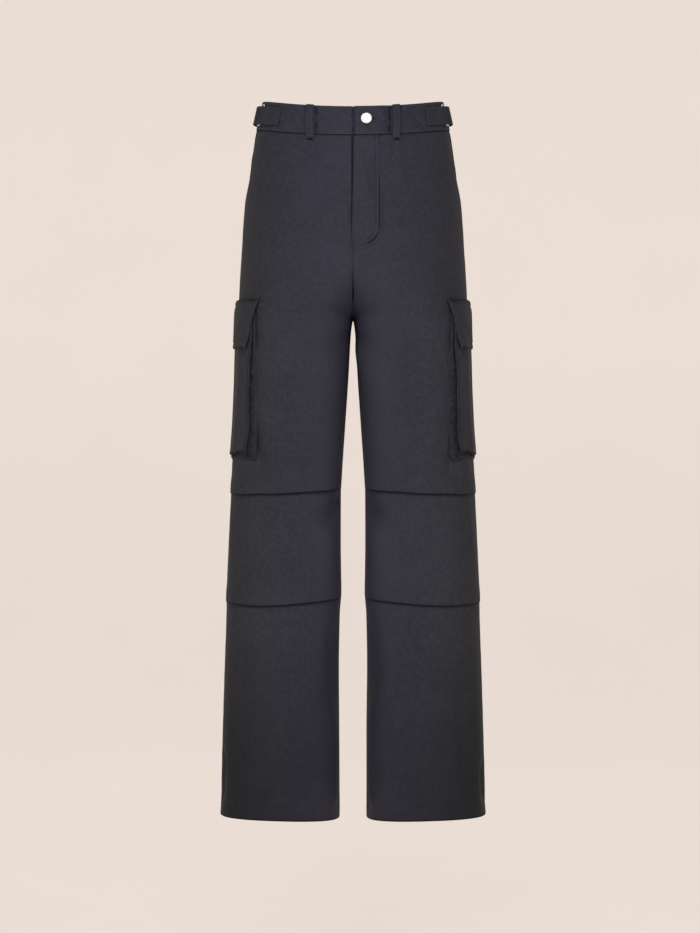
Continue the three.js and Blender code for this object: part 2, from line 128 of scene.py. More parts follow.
# Sections of one side of the body: its outer and inner edge from the middle, its front and back
SECTION_NAMES = ("height", "outer", "inner", "front", "back", "power")
SECTIONS = np.array([
    (0, 130.6, -130.6, 88, 88, 2.1),
    (-41, 139.5, -139.5, 96, 98, 2.1),
    (-75, 145.1, -145.1, 103, 110, 2.12),
    (-112, 150, -150, 109, 121, 2.15),
    (-148, 155.6, -155.6, 113, 128, 2.2),
    (-184, 158.4, -154, 115, 131, 2.25),
    (-220, 160.4, -138, 115, 131, 2.3),
    (-240, 161.8, -114, 114.5, 130, 2.32),
    (-255, 162.6, -88, 114, 129, 2.33),
    (-268, 163.3, -62, 113.5, 128, 2.35),
    (-280, 163.8, -39, 112.5, 126.5, 2.36),
    (-290, 164.1, -23, 111.5, 125, 2.38),
    (-300, 164.4, -10.5, 110.5, 123, 2.4),
    (-307, 164.5, -4, 109.5, 121.5, 2.4),
    (-312.6, 164.6, 0, 109, 120.5, 2.4),
    (-320, 164.7, 2, 108.5, 119.5, 2.4),
    (-332, 164.8, 3.6, 108, 117.5, 2.4),
    (-351, 165, 5, 106, 115, 2.4),
    (-395, 165.6, 7.3, 102, 108, 2.4),
    (-460, 168.6, 11.6, 96, 99, 2.4),
    (-525, 174, 16, 91, 91, 2.4),
    (-566, 175.6, 18.4, 88, 87, 2.4),
    (-640, 179.2, 18.6, 84, 82, 2.4),
    (-712, 182, 18, 81, 79, 2.4),
    (-740, 182.4, 20, 80, 79, 2.4),
    (-830, 185.4, 21.4, 78, 78, 2.4),
    (-950, 189, 20.6, 77, 78, 2.4),
    (-1030, 191.4, 20.2, 77, 78, 2.4),
])

# Knee tucks: heights of the fold's edge at both seams, and how much lower its middle hangs
TUCKS = ({"outer": -563.6, "inner": -558, "sag": 6.7}, {"outer": -719, "inner": -714, "sag": 8.5})

# Creases of the panels, as soft ridges (+) and troughs (-): shares of the panel's width from the
# outseam, heights, depth and half-width. The side is -1 or 1, or 0 for both legs.
# Columns: side, share_a, height_a, share_b, height_b, depth, width
FRONT_CREASES = (
    # drag lines off the waistband and beside the fly
    (-1, 0.62, -48, 0.93, -66, -0.9, 5), (-1, 0.66, -58, 0.95, -80, 0.7, 8),
    (-1, 0.935, -150, 0.92, -204, 1.0, 8), (-1, 0.88, -150, 0.85, -205, -0.5, 10),
    (1, 0.93, -62, 0.92, -160, 0.6, 9), (1, 0.80, -70, 0.79, -150, -0.7, 9),
    (1, 0.60, -52, 0.74, -92, -0.7, 7),
    # fans from the crotch
    (0, 0.97, -300, 0.60, -322, -0.9, 16), (0, 0.97, -309, 0.70, -352, 0.7, 15),
    (0, 0.93, -330, 0.62, -392, -0.7, 16), (-1, 0.88, -262, 0.62, -286, 0.8, 20),
    (1, 0.86, -268, 0.56, -284, 0.7, 18), (1, 0.96, -345, 0.82, -420, 1.2, 14),
    # beside and below the cargo pocket
    (-1, 0.36, -450, 0.52, -545, -2.2, 12), (-1, 0.42, -440, 0.62, -540, 1.4, 16),
    (1, 0.35, -462, 0.48, -548, -2.0, 12), (1, 0.46, -430, 0.60, -545, 1.5, 17),
    (-1, 0.35, -296, 0.42, -360, -1.3, 8), (1, 0.34, -300, 0.41, -366, -1.3, 8),
    (0, 0.70, -420, 0.78, -545, 1.3, 22), (1, 0.24, -520, 0.34, -548, 1.0, 12),
    # knee
    (0, 0.93, -566, 0.80, -612, -2.4, 13), (0, 0.86, -600, 0.84, -700, 2.0, 19),
    (-1, 0.16, -580, 0.22, -700, 1.0, 16), (1, 0.30, -590, 0.22, -690, 0.9, 15),
    (-1, 0.52, -575, 0.50, -640, -1.0, 17), (1, 0.62, -580, 0.55, -655, -1.1, 16),
    # shin, mostly upright
    (-1, 0.91, -735, 0.93, -900, -2.0, 13), (1, 0.90, -740, 0.93, -880, -1.9, 14),
    (-1, 0.30, -760, 0.27, -1000, -1.1, 15), (1, 0.33, -790, 0.30, -1010, -1.2, 17),
    (-1, 0.58, -800, 0.62, -1005, 1.3, 22), (1, 0.55, -760, 0.60, -990, 1.2, 20),
    (-1, 0.12, -930, 0.08, -1024, -2.4, 14), (1, 0.13, -945, 0.09, -1024, -2.2, 13),
    (0, 0.78, -960, 0.86, -1024, 1.6, 16), (0, 0.96, -990, 0.88, -1026, -1.4, 10),
)
BACK_CREASES = (
    # under the seat and down the thigh
    (0, 0.95, -270, 0.55, -312, -2.6, 15), (0, 0.96, -292, 0.62, -346, 2.4, 15),
    (0, 0.90, -322, 0.50, -372, -2.2, 15), (-1, 0.88, -356, 0.60, -420, 1.8, 16),
    (1, 0.86, -366, 0.56, -432, 1.7, 17), (0, 0.80, -60, 0.74, -150, -0.9, 12),
    (-1, 0.55, -50, 0.62, -120, 0.9, 14), (1, 0.50, -52, 0.60, -128, 0.8, 15),
    (-1, 0.40, -470, 0.62, -560, -1.8, 15), (1, 0.42, -480, 0.66, -566, -1.9, 16),
    # behind the knee
    (-1, 0.22, -560, 0.78, -596, 1.9, 14), (-1, 0.30, -596, 0.86, -622, -2.2, 12),
    (-1, 0.18, -640, 0.70, -662, 1.6, 15), (1, 0.28, -566, 0.84, -590, 1.8, 13),
    (1, 0.20, -604, 0.80, -634, -2.1, 13), (1, 0.26, -652, 0.76, -668, 1.5, 14),
    # calf
    (-1, 0.44, -740, 0.38, -980, -1.6, 18), (1, 0.50, -760, 0.42, -1000, -1.5, 18),
    (-1, 0.74, -720, 0.80, -960, 1.5, 20), (1, 0.76, -730, 0.84, -990, 1.4, 20),
    (0, 0.14, -900, 0.10, -1022, -1.8, 14),
)
CREASE_SPAN = 250     # millimetres that a whole share stands for when a crease's distance is taken

# Edges of a sheet, from its end inwards: distance in from the edge, and how far out
SEAM_EDGE = ((0.1, -4.5), (0.1, -2.6), (0.25, -1.5), (0.8, -0.75), (1.8, -0.28), (3.6, 0))
MIDDLE_EDGE = ((0.1, -4.5), (0.1, -2.2), (0.15, -1.0), (0.5, -0.4), (1.4, -0.12), (3.0, 0))
FOLD_EDGE = ((7, -1.05), (1.2, -1.05), (0.25, -0.95), (0, -0.55), (0.25, -0.15), (1.1, 0))


def smooth(name, height):
    """A column of the section table at any heights, with no overshoot between its rows."""
    down = -SECTIONS[:, 0]
    value = SECTIONS[:, SECTION_NAMES.index(name)]
    slope = np.diff(value) / np.diff(down)
    before, after = slope[:-1], slope[1:]
    both = np.where(before + after == 0, 1, before + after)
    inner = np.where(before * after <= 0, 0, 2 * before * after / both)
    tangent = np.concatenate(([slope[0]], inner, [slope[-1]]))
    x = np.clip(-np.asarray(height, float), down[0], down[-1])
    i = np.clip(np.searchsorted(down, x, side="right") - 1, 0, len(down) - 2)
    span = down[i + 1] - down[i]
    t = (x - down[i]) / span
    a, b = value[i], value[i + 1]
    ta, tb = tangent[i] * span, tangent[i + 1] * span
    return a + t * (ta + t * (3 * (b - a) - 2 * ta - tb + t * (2 * (a - b) + ta + tb)))


def ease(value, start, end):
    t = np.clip((np.asarray(value, float) - start) / (end - start), 0, 1)
    return t * t * (3 - 2 * t)


def mix(a, b, t):
    return a + (b - a) * t


class Half:
    """The front or back half of the sections, a row each millimetre down, evenly spaced along."""

    SAMPLES = 321

    def __init__(self, face):
        turn = -1 if face == "front" else 1
        height = -np.arange(LENGTH + 1.0)
        outer, inner = smooth("outer", height), smooth("inner", height)
        middle, half = (outer + inner) / 2, (outer - inner) / 2
        power = (2 / smooth("power", height))[:, None]
        angle = np.linspace(0, math.pi, self.SAMPLES)[None, :]
        across = np.cos(angle)
        x = middle[:, None] + half[:, None] * np.sign(across) * np.abs(across) ** power
        y = turn * smooth(face, height)[:, None] * np.abs(np.sin(angle)) ** power
        y[:, -1] = 0
        step = np.hypot(np.diff(x, axis=1), np.diff(y, axis=1))
        along = np.concatenate((np.zeros((len(height), 1)), np.cumsum(step, axis=1)), axis=1)
        self.total = along[:, -1]
        even = np.linspace(0, 1, self.SAMPLES)
        rows = range(len(height))
        x = np.array([np.interp(even * self.total[i], along[i], x[i]) for i in rows])
        y = np.array([np.interp(even * self.total[i], along[i], y[i]) for i in rows])
        dx, dy = np.gradient(x, axis=1), np.gradient(y, axis=1)
        dx[:, [0, -1]] = 0
        dy[:, 0], dy[:, -1] = turn, -turn
        size = np.hypot(dx, dy)
        self.grid = np.stack((x, y, dy * turn / size, -dx * turn / size), axis=2)

    def ends(self, stop):
        """By row, the distance along to the plane x = stop, or to the inseam."""
        stop = np.broadcast_to(stop, self.total.shape)
        even = np.linspace(0, 1, self.SAMPLES)
        rows = range(len(self.total))
        share = np.array([np.interp(-stop[i], -self.grid[i, :, 0], even) for i in rows])
        return np.where(share >= 1, self.total - SEAM_HALF, share * self.total)

    def at(self, height, along):
        row = np.clip(-height, 0, LENGTH - 1e-6)
        i = row.astype(int)
        t = (row - i)[..., None]

        def read(k):
            place = np.clip(along / self.total[k], 0, 1) * (self.SAMPLES - 1)
            j = np.minimum(place.astype(int), self.SAMPLES - 2)
            s = (place - j)[..., None]
            return self.grid[k, j] * (1 - s) + self.grid[k, j + 1] * s

        return read(i) * (1 - t) + read(i + 1) * t


HALVES = {"front": Half("front"), "back": Half("back")}
INNER_ROWS = smooth("inner", -np.arange(LENGTH + 1.0))


def arrays(*values):
    """Values as float arrays of one shape."""
    return np.broadcast_arrays(*(np.asarray(value, float) for value in values))


def girth(height, face, stop):
    """By height, the distance along a half to the plane x = stop, or to the inseam."""
    return np.interp(-np.asarray(height, float), np.arange(LENGTH + 1), HALVES[face].ends(stop))


def skin(side, height, along, out=0.0):
    """Points of the cloth, in metres, from arrays of places in millimetres."""
    height, along, out = arrays(height, along, out)
    front = (along >= 0)[..., None]
    place = np.where(front, HALVES["front"].at(height, along), HALVES["back"].at(height, -along))
    x, y, nx, ny = np.moveaxis(place, -1, 0)
    face_depth = np.where(y < 0, smooth("front", height), smooth("back", height))
    depth = np.clip(np.abs(y) / face_depth, 0, 1)
    dip = np.where(y < 0, -FRONT_DIP, BACK_RISE) * depth ** 1.6 * ease(height, DIP_END, -60)
    outer, inner = smooth("outer", height), smooth("inner", height)
    drop = HEM_INNER_DROP * (outer - x) / (outer - inner)
    rise = np.where(y < 0, HEM_FRONT_RISE * depth, 0) - drop
    z = height + dip + rise * ease(height, -960, -LENGTH)
    return np.stack((side * (x + nx * out), y + ny * out, z), axis=-1) * MM


def normal_at(side, height, along):
    """Outward unit normals of the smooth cloth."""
    step = 0.5
    forward = skin(side, height, along + step) - skin(side, height, along - step)
    up = skin(side, height + step, along) - skin(side, height - step, along)
    outward = np.cross(forward, up) * side
    return outward / np.linalg.norm(outward, axis=-1, keepdims=True)


def run_of(points):
    """Distance gone at each point of a path."""
    step = np.linalg.norm(np.diff(points, axis=0), axis=1)
    return np.concatenate(([0], np.cumsum(step)))


def bell(distance, width):
    """1 in the middle, and nearly 0 from twice the width on."""
    return np.exp(-((distance / width) ** 2))


def creased(rows, side, share, height):
    """Sum of the creases of a panel at its places."""
    total = np.zeros(np.broadcast(share, height).shape)
    for leg, share_a, height_a, share_b, height_b, depth, width in rows:
        if leg not in (0, side):
            continue
        dx, dy = (share_b - share_a) * CREASE_SPAN, height_b - height_a
        px, py = (share - share_a) * CREASE_SPAN, height - height_a
        length = math.hypot(dx, dy)
        t = (px * dx + py * dy) / length ** 2
        sign = math.copysign(1, depth * dx + 0.1)
        bow = sign * 0.06 * length * np.sin(math.pi * np.clip(t, 0, 1))
        off = (px * dy - py * dx) / length + bow
        taper = ease(t, -0.12, 0.3) * (1 - ease(t, 0.6, 1.14))
        wide = width * (0.8 + 0.5 * np.clip(t, 0, 1))
        total = total + depth * taper * bell(off, wide)
    return total


def ripple(along, length, seed):
    """A wave of uneven length and height, from -1 to 1."""
    turns = 2 * math.pi * along / length
    return (
        0.55 * np.sin(turns + seed)
        + 0.3 * np.sin(1.73 * turns + 2.1 * seed + 0.6 * np.sin(0.31 * turns))
        + 0.15 * np.sin(3.1 * turns + 0.7 * seed)
    )


def tucked(height, share):
    """Heights near a tuck follow its hanging edge."""
    moved = height
    for tuck in TUCKS:
        edge = (tuck["outer"] + tuck["inner"]) / 2
        line = mix(tuck["outer"], tuck["inner"], share) - tuck["sag"] * np.sin(math.pi * share)
        line = line + 0.7 * ripple(share, 0.42, tuck["sag"])
        moved = moved + (line - edge) * (1 - ease(np.abs(height - edge), 25, 70))
    return moved


def slash_edge(height):
    down = (height + BAND_HEIGHT) / (SLASH_END + BAND_HEIGHT)
    return np.where(down >= 1, SEAM_HALF, mix(SLASH_INSET, 2, np.clip(down, 0, 1)))


def column_along(height, face, stop, start, share):
    """Distance of a panel's column: only those next to the middle follow the jump at the crotch."""
    end = girth(height, face, stop)
    near = girth(height, face, np.maximum(stop, INNER_ROWS + CROTCH_ROUND))
    return mix(start, near, share) + (end - near) * ease(share, 0.66, 1)


def fly_edge():
    """By row, where the lapping front ends: short of the middle at the top, past it below."""
    return mix(-FLY_SHORT, FLY_LAP, ease(np.arange(LENGTH + 1.0), BAND_HEIGHT, -FLY_END)) * -1


def front_place(side, level, share):
    """Height and distance along of a front panel's place, from its level and share."""
    height = tucked(level, share)
    fly_stop = fly_edge() if side == SIDES["left"] else -FLY_UNDERLAP
    edge = slash_edge(height)
    below = column_along(height, "front", SEAM_HALF, edge, share)
    beside = column_along(height, "front", fly_stop, edge, share)
    return height, mix(below, beside, ease(level, FLY_END - 4, FLY_END - 1))


def fly_line(inset):
    """A line of the fly's stitching: distance from the middle, corner and lowest level."""
    return FLY_WIDTH + 1 - inset, FLY_CORNER - inset, FLY_END - 5.4 + FLY_TALL * inset


def off_fly_line(height, middle, inset):
    """Distance from a line of the fly's stitching: down beside the middle, then round to it."""
    wide, radius, low = fly_line(inset)
    across, down = middle - wide + radius, (height - low) / FLY_TALL - radius
    corner = np.hypot(across, down) - radius
    return np.where(down >= 0, middle - wide, np.where(across > 0, corner, low - height))


def pocket_dent(side, height, along):
    """The leg drawn in along the cargo pocket's seam, with small gathers beside its top."""
    inside = ease(height, GUSSET_LOW - 3, GUSSET_LOW + 3)
    inside = inside * ease(height, POCKET_TOP + 14, POCKET_TOP)
    beside = along - GUSSET_HALF - 1
    gathers = ease(height, -420, -330) * ripple(height + 0.5 * along, 13, 2 + side)
    gathers = gathers * np.exp(-np.clip(beside, 0, 99) / 8) * ease(beside, -6, 0)
    return inside * (0.9 * bell(beside, 1.8) + 0.8 * gathers)


def puckers(height, along, outseam, hem):
    """Puckers beside the outseam and the hem's sewing, each from its depth, length and seed."""
    beside, above = np.exp(-along / 9), np.exp(-np.abs(height + LENGTH - HEM_TURN) / 6)
    down, round_hem = ripple(height, *outseam[1:]), ripple(along, *hem[1:])
    return outseam[0] * beside * down + hem[0] * above * round_hem


def front_relief(side, share, height, along):
    """How far the front's face stands out: creases, the lapped fly and puckers at the seams."""
    relief = 2.4 * creased(FRONT_CREASES, side, share, height) * ease(height, -41, -60)
    middle = girth(height, "front", 0) - along
    drawn = ease(height, -226, -268) * ease(height, -304, -284)
    near_middle = ease(middle, 30, 5) * ease(height, -300, -215) * (height < FLY_END)
    steady = 1 - 0.7 * near_middle
    relief = relief * steady - 2.0 * drawn * bell(middle, 14)
    if side == SIDES["left"]:
        outside = off_fly_line(height, middle, 0)
        dents = 0.6 + 0.4 * ripple(height - middle, 13, 1.1)
        for inset in FLY_STITCHES:
            line = bell(off_fly_line(height, middle, inset), 1.5) * (middle > -1)
            relief = relief - 0.95 * dents * line
        swell = ease(height, FLY_END + 6, FLY_END + 24) * bell(middle - 15, 9)
        relief = relief + FLY_RAISE * ease(outside, 6, -2) * steady + 0.9 * swell
    else:
        relief = relief - 2.2 * ease(middle, 2.0, 0.3) * ease(height, FLY_END - 10, FLY_END + 6)
    relief = relief - pocket_dent(side, height, along)
    return relief + puckers(height, along, (0.35, 38, 1.3 + side), (0.45, 34, 2.2 + side))


def back_relief(side, share, height, along):
    relief = 1.9 * creased(BACK_CREASES, side, share, height) * ease(height, -41, -60)
    return relief + puckers(height, along, (0.35, 41, 3.1 + side), (0.3, 36, 0.4 + side))


def panel_place(face, side, level, share, inset=0.0):
    """Height, distance along and relief of a panel's place, from its level and share."""
    if face == "front":
        height, along = front_place(side, level, share)
        along = along + inset
        return height, along, front_relief(side, share, height, along)
    height = np.broadcast_to(level, np.broadcast(level, share).shape)
    along = column_along(height, "back", SEAM_HALF, SEAM_HALF, share) + inset
    return height, along, back_relief(side, share, height, along)


def stepped(start, end, step):
    count = max(1, round(abs(end - start) / step))
    return list(np.linspace(start, end, count + 1))


def edged(start, end, step, first, last):
    """Places from start to end as (place, out), with an edge's profile at each end."""
    sign = 1 if end > start else -1
    head = [(start + sign * inset, out) for inset, out in first]
    tail = [(end - sign * inset, out) for inset, out in reversed(last)]
    inside = [(place, 0.0) for place in stepped(head[-1][0], tail[0][0], step)[1:-1]]
    return np.array(head + inside + tail)


def panel_columns(width, fine, first, last):
    """Columns of a panel as (share, inset in millimetres, out)."""
    head = [(0.0, inset, out) for inset, out in first]
    tail = [(1.0, -inset, out) for inset, out in reversed(last)]
    shares = [*stepped(0.015, 0.28, 3.4 / width), *stepped(0.28, 0.37, fine / width)[1:],
              *stepped(0.37, 0.8, 3.6 / width)[1:], *stepped(0.8, 0.985, fine / width)[1:]]
    return np.array(head + [(share, 0.0, 0.0) for share in shares] + tail)


def tuck_rows(tuck):
    edge = (tuck["outer"] + tuck["inner"]) / 2
    radius, middle = 1.27, 1.62
    rows = [(34, 0), (30, 0.15), (26, 0.6), (22, 1.25), (18, 2.0), (14, 2.6), (10, 2.85),
            (6, 2.92), (3, 2.9)]
    for angle in range(0, 181, 20):
        turn = math.radians(angle)
        rows.append((1.3 - radius * math.sin(turn), middle + radius * math.cos(turn)))
    rows += [(3, 0.35), (8, 0.35), (11, 0.33), (11.6, 0.18), (11, 0.04), (8, 0), (4, 0), (0, 0),
             (-4, 0), (-8, 0)]
    return [(edge + rise, out) for rise, out in rows]


def flat_rows(start, end, step):
    """Rows that lie on the panel's face."""
    return [(level, 0.0) for level in stepped(start, end, step)]


def panel_rows(face):
    """Rows of a panel as (level, out): top seam, cloth, tucks, and the hem turned up inside."""
    head = [(-38.5, -3.0), (-41.0, -2.4), (-41.3, -1.1), (-41.9, -0.4), (-43.2, -0.05)]
    body = flat_rows(-46, -200, 5) + flat_rows(-200, -228, 1.6)[1:] + flat_rows(-228, -296, 5)[1:]
    body += flat_rows(-298, -324, 2)
    if face == "front":
        first, second = (tuck_rows(tuck) for tuck in TUCKS)
        body += flat_rows(-328, first[0][0] + 5, 3.8) + first
        body += flat_rows(first[-1][0] - 5, second[0][0] + 5, 5) + second
        body += flat_rows(second[-1][0] - 5, -1008, 5.5)
    else:
        body += flat_rows(-328, -1008, 5.5)
    hem = [(-1010.5, 0.0), (-1011.6, -0.25), (-1012.4, -0.25), (-1013.5, 0.05), (-1018, 0.05),
           (-1024, 0), (-1028.4, -0.02), (-1029.6, -0.3), (-1030, -0.95), (-1029.6, -1.6),
           (-1028.4, -1.95), (-1020, -1.95), (-1013, -1.9), (-1012.2, -1.5)]
    return np.array(head + body + hem)


def bend_of(points, axis):
    """How sharply a grid of points turns along one of its axes."""
    points = np.moveaxis(points, axis, 0)
    step = np.diff(points, axis=0)
    size = np.maximum(np.linalg.norm(step, axis=-1, keepdims=True), 0.0002)
    turn = 2 * np.diff(step / size, axis=0) / (size[1:] + size[:-1])
    return np.moveaxis(np.pad(turn, ((1, 1), (0, 0), (0, 0)), mode="edge"), 0, axis)


def wear_and_shade_of(points, outward):
    """Where a grid of points bends: ridges above 0 for worn edges and painted highlight, hollows
    below 0 for painted shade.
    """
    normal = np.cross(np.gradient(points, axis=0), np.gradient(points, axis=1))
    normal /= np.maximum(np.linalg.norm(normal, axis=-1, keepdims=True), 1e-12)
    row, column = points.shape[0] // 2, points.shape[1] // 2
    if np.dot(normal[row, column], outward(row, column)) < 0:
        normal = -normal
    wear_and_shade = -0.0024 * ((bend_of(points, 0) + bend_of(points, 1)) * normal).sum(axis=-1)
    wear_and_shade = np.clip(wear_and_shade, -1, 1)
    for border in (wear_and_shade[:, :5], wear_and_shade[:, -5:]):
        np.maximum(border, -0.16, out=border)
    padded = np.pad(wear_and_shade, 1, mode="edge")
    around = padded[2:, 1:-1] + padded[:-2, 1:-1] + padded[1:-1, 2:] + padded[1:-1, :-2]
    return 0.5 * wear_and_shade + 0.125 * around


def new_object(name, data):
    made = bpy.data.objects.new(name, data)
    bpy.context.scene.collection.objects.link(made)
    return made


def mesh_object(name, bm, material):
    """A smooth object of one material, from a bmesh that isn't needed after it."""
    mesh = bpy.data.meshes.new(name)
    bm.to_mesh(mesh)
    bm.free()
    mesh.shade_smooth()
    mesh.materials.append(material)
    return new_object(name, mesh)


def grid_object(name, points, cut, outward, material):
    """An object from a grid of points, with its cut's places in metres as its UV map."""
    rows, columns = points.shape[:2]
    bm = bmesh.new()
    bm.loops.layers.uv.new("Cut")
    bmesh.ops.create_grid(bm, x_segments=columns - 1, y_segments=rows - 1, size=0.5)
    place = np.array([vert.co[:2] for vert in bm.verts]) + 0.5
    column = np.rint(place[:, 0] * (columns - 1)).astype(int)
    row = np.rint(place[:, 1] * (rows - 1)).astype(int)
    for vert, co in zip(bm.verts, points[row, column].tolist()):
        vert.co = co
    bm.normal_update()
    bm.verts.ensure_lookup_table()
    middle = bm.verts[int(np.argmin((place[:, 0] - 0.5) ** 2 + (place[:, 1] - 0.5) ** 2))]
    if middle.normal.dot(Vector(outward(rows // 2, columns // 2))) < 0:
        bmesh.ops.reverse_faces(bm, faces=bm.faces[:])
    piece = mesh_object(name, bm, material)
    mesh = piece.data
    vertex = np.empty(len(mesh.loops), int)
    mesh.loops.foreach_get("vertex_index", vertex)
    uv = cut[row[vertex], column[vertex]] * MM
    mesh.uv_layers["Cut"].data.foreach_set("uv", uv.astype(np.float32).ravel())
    # Bends of the cloth for its colour: worn ridges with painted highlight, and painted shade in
    # the hollows
    worn = mesh.attributes.new("WearAndShade", "FLOAT", "POINT")
    wear_and_shade = wear_and_shade_of(points, outward)
    worn.data.foreach_set("value", wear_and_shade[row, column].astype(np.float32))
    return piece


def dress(piece, slot, *nodes):
    """Puts a piece on the part's one body and hides the nodes it stands for; its slot is not used.
    """
    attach(piece, "root")
    for node in nodes:
        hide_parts(node)


def cloth(sizes, name, points, cut, outward, look, thickness, node):
    """A thin shell of cloth over one node of the frame."""
    piece = grid_object(name, points, cut, outward, look_of(sizes, look))
    shell = piece.modifiers.new("Thickness", "SOLIDIFY")
    shell.thickness = thickness * MM
    shell.offset = -1
    dress(piece, "zip_tape" if look == "zip_tape" else "twill", node)


class Value:
    """A shader socket that takes arithmetic."""

    def __init__(self, tree, socket):
        self.tree = tree
        self.socket = socket

    def math(self, operation, *others):
        values = {i + 1: getattr(other, "socket", other) for i, other in enumerate(others)}
        values[0] = self.socket
        return self.tree.node("ShaderNodeMath", {"operation": operation}, values)

    def __add__(self, other):
        return self.math("ADD", other)

    def __mul__(self, other):
        return self.math("MULTIPLY", other)

    def __sub__(self, other):
        return self.math("SUBTRACT", other)

    def sine(self):
        return self.math("SINE")

    def band(self, low, high):
        """0 below low, 1 above high, smooth between."""
        return self.tree.node(
            "ShaderNodeMapRange",
            {"interpolation_type": "SMOOTHSTEP"},
            {"Value": self.socket, "From Min": low, "From Max": high},
        )


class Look:
    """A material and its nodes."""

    def __init__(self, name, **constants):
        self.material = bpy.data.materials.new(name)
        self.material.use_nodes = True
        self.nodes = self.material.node_tree.nodes
        self.links = self.material.node_tree.links
        self.shader = self.nodes["Principled BSDF"]
        for socket, value in constants.items():
            self.shader.inputs[socket.replace("_", " ")].default_value = value

    def node(self, kind, settings, inputs, output=0):
        made = self.nodes.new(kind)
        for key, value in settings.items():
            setattr(made, key, value)
        for key, value in inputs.items():
            value = getattr(value, "socket", value)
            if isinstance(value, bpy.types.NodeSocket):
                self.links.new(value, made.inputs[key])
            else:
                made.inputs[key].default_value = value
        return Value(self, made.outputs[output])

    def coordinates(self, output):
        return self.node("ShaderNodeTexCoord", {}, {}, output)

    def noise(self, vector, scale, detail=2.0, roughness=0.5):
        return self.node(
            "ShaderNodeTexNoise",
            {},
            {"Vector": vector, "Scale": scale, "Detail": detail, "Roughness": roughness},
        )

    def parts(self, vector):
        split = self.node("ShaderNodeSeparateXYZ", {}, {"Vector": vector})
        return [Value(self, output) for output in split.socket.node.outputs]

    def mix_colours(self, factor, a, b):
        made = self.nodes.new("ShaderNodeMix")
        made.data_type = "RGBA"
        self.links.new(factor.socket, made.inputs[0])
        for socket, value in ((made.inputs[6], a), (made.inputs[7], b)):
            if isinstance(value, Value):
                self.links.new(value.socket, socket)
            else:
                socket.default_value = value
        return Value(self, made.outputs[2])

    def feed(self, socket, value):
        self.links.new(value.socket, self.shader.inputs[socket])

    def bump(self, height, strength, distance):
        made = self.node(
            "ShaderNodeBump", {}, {"Height": height, "Strength": strength, "Distance": distance}
        )
        self.feed("Normal", made)


def linear(colour):
    """A screen colour of 0 to 1 as a linear colour."""
    return (*(value / 12.92 if value <= 0.04045 else ((value + 0.055) / 1.055) ** 2.4
              for value in colour), 1.0)


def twill_look(sizes, name, shade=1.0):
    """Matt charcoal twill: a fine diagonal weave and mottled tone, with painted light and shade in
    its colour; a shade below 1 darkens it all as painted shade.
    """
    look = Look(name, Specular_IOR_Level=0.12)
    body = look.coordinates("Object")
    across, up, _ = look.parts(look.coordinates("UV"))
    x, _, height = look.parts(body)
    pitch = 2 * math.pi / sizes.weave_pitch
    diagonal = ((across + up * 1.6) * pitch).sine()
    threads = (across * (pitch * 1.6)).sine()
    slub = look.noise(body, 520, 3.0, 0.6)
    mottle = look.noise(body, 14, 5.0, 0.6)
    grain = look.noise(body, 170, 5.0, 0.7)
    # Bends of the cloth: ridges above 0 for worn edges and painted highlight, hollows below 0 for
    # painted shade
    wear_and_shade = look.node("ShaderNodeAttribute", {"attribute_name": "WearAndShade"}, {}, 2)
    side = x.math("ABSOLUTE")
    patches = look.noise(body, 26, 3.0, 0.6)
    outer = side.band(0.05, 0.17) + (patches - 0.5) * 0.9
    low = height.band(-0.68, -1.02)
    # Painted light: a paler tint lifted onto the inner legs, more below the crotch
    inseam = side.band(0.08, 0.015) * (height.band(-0.22, -0.36) * 0.5 + 0.08)
    # Painted light: a cool shade tint towards the inseams and a lifted neutral grey towards the
    # outseams, mixed by the outer share with random patches
    inner_tint, outer_tint, inseam_lift_tint = (
        (*(channel * shade for channel in tint_colour), 1)
        for tint_colour in (sizes.inner_shade_tint, sizes.outer_lit_tint, (0.062, 0.060, 0.082)))
    colour = look.mix_colours(outer.band(0, 1), inner_tint, outer_tint)
    pale = look.mix_colours(inseam, colour, inseam_lift_tint)
    worn = look.mix_colours(mottle.band(0.3, 0.75) * 0.18 + grain.band(0.36, 0.66) * 0.3, pale,
                            (0.055, 0.055, 0.078, 1))
    woven = look.mix_colours(diagonal.band(-1, 1) * 0.10, worn, (0.013, 0.0125, 0.017, 1))
    # Ridges paler: worn edges, and painted highlight on the raised cloth
    ridge_worn_and_lit = look.mix_colours(wear_and_shade.band(0.05, 0.9) * 0.3, woven, (0.070, 0.071, 0.094, 1))
    # Painted shade: near black in the hollows of the cloth's bends
    hollow_shaded = look.mix_colours((wear_and_shade * -1).band(0.04, 0.7) * 0.82, ridge_worn_and_lit,
                              (0.0035, 0.0035, 0.005, 1))
    # Painted shade: darker towards the hem, darker still towards the outseams low down
    low_shaded = look.mix_colours(low * 0.34 + (outer * low).band(0, 1) * 0.25, hollow_shaded,
                            (0.008, 0.008, 0.009, 1))
    look.feed("Base Color", low_shaded)
    look.feed("Roughness", mottle * 0.08 + 0.64 + slub * 0.06)
    look.bump(diagonal * 0.5 + threads * 0.18 + slub * 0.9, 0.35, 0.00012)
    return look.material


def thread_look(sizes, name):
    look = Look(name, Sheen_Weight=0.05, Specular_IOR_Level=0.4)
    body = look.coordinates("Object")
    ply = look.noise(body, 1800, 1.0, 0.5)
    colour = look.mix_colours(ply, (*sizes.thread_colour, 1), (0.045, 0.044, 0.056, 1))
    look.feed("Base Color", colour)
    look.feed("Roughness", ply * 0.15 + 0.5)
    look.bump(ply, 0.3, 0.0001)
    return look.material


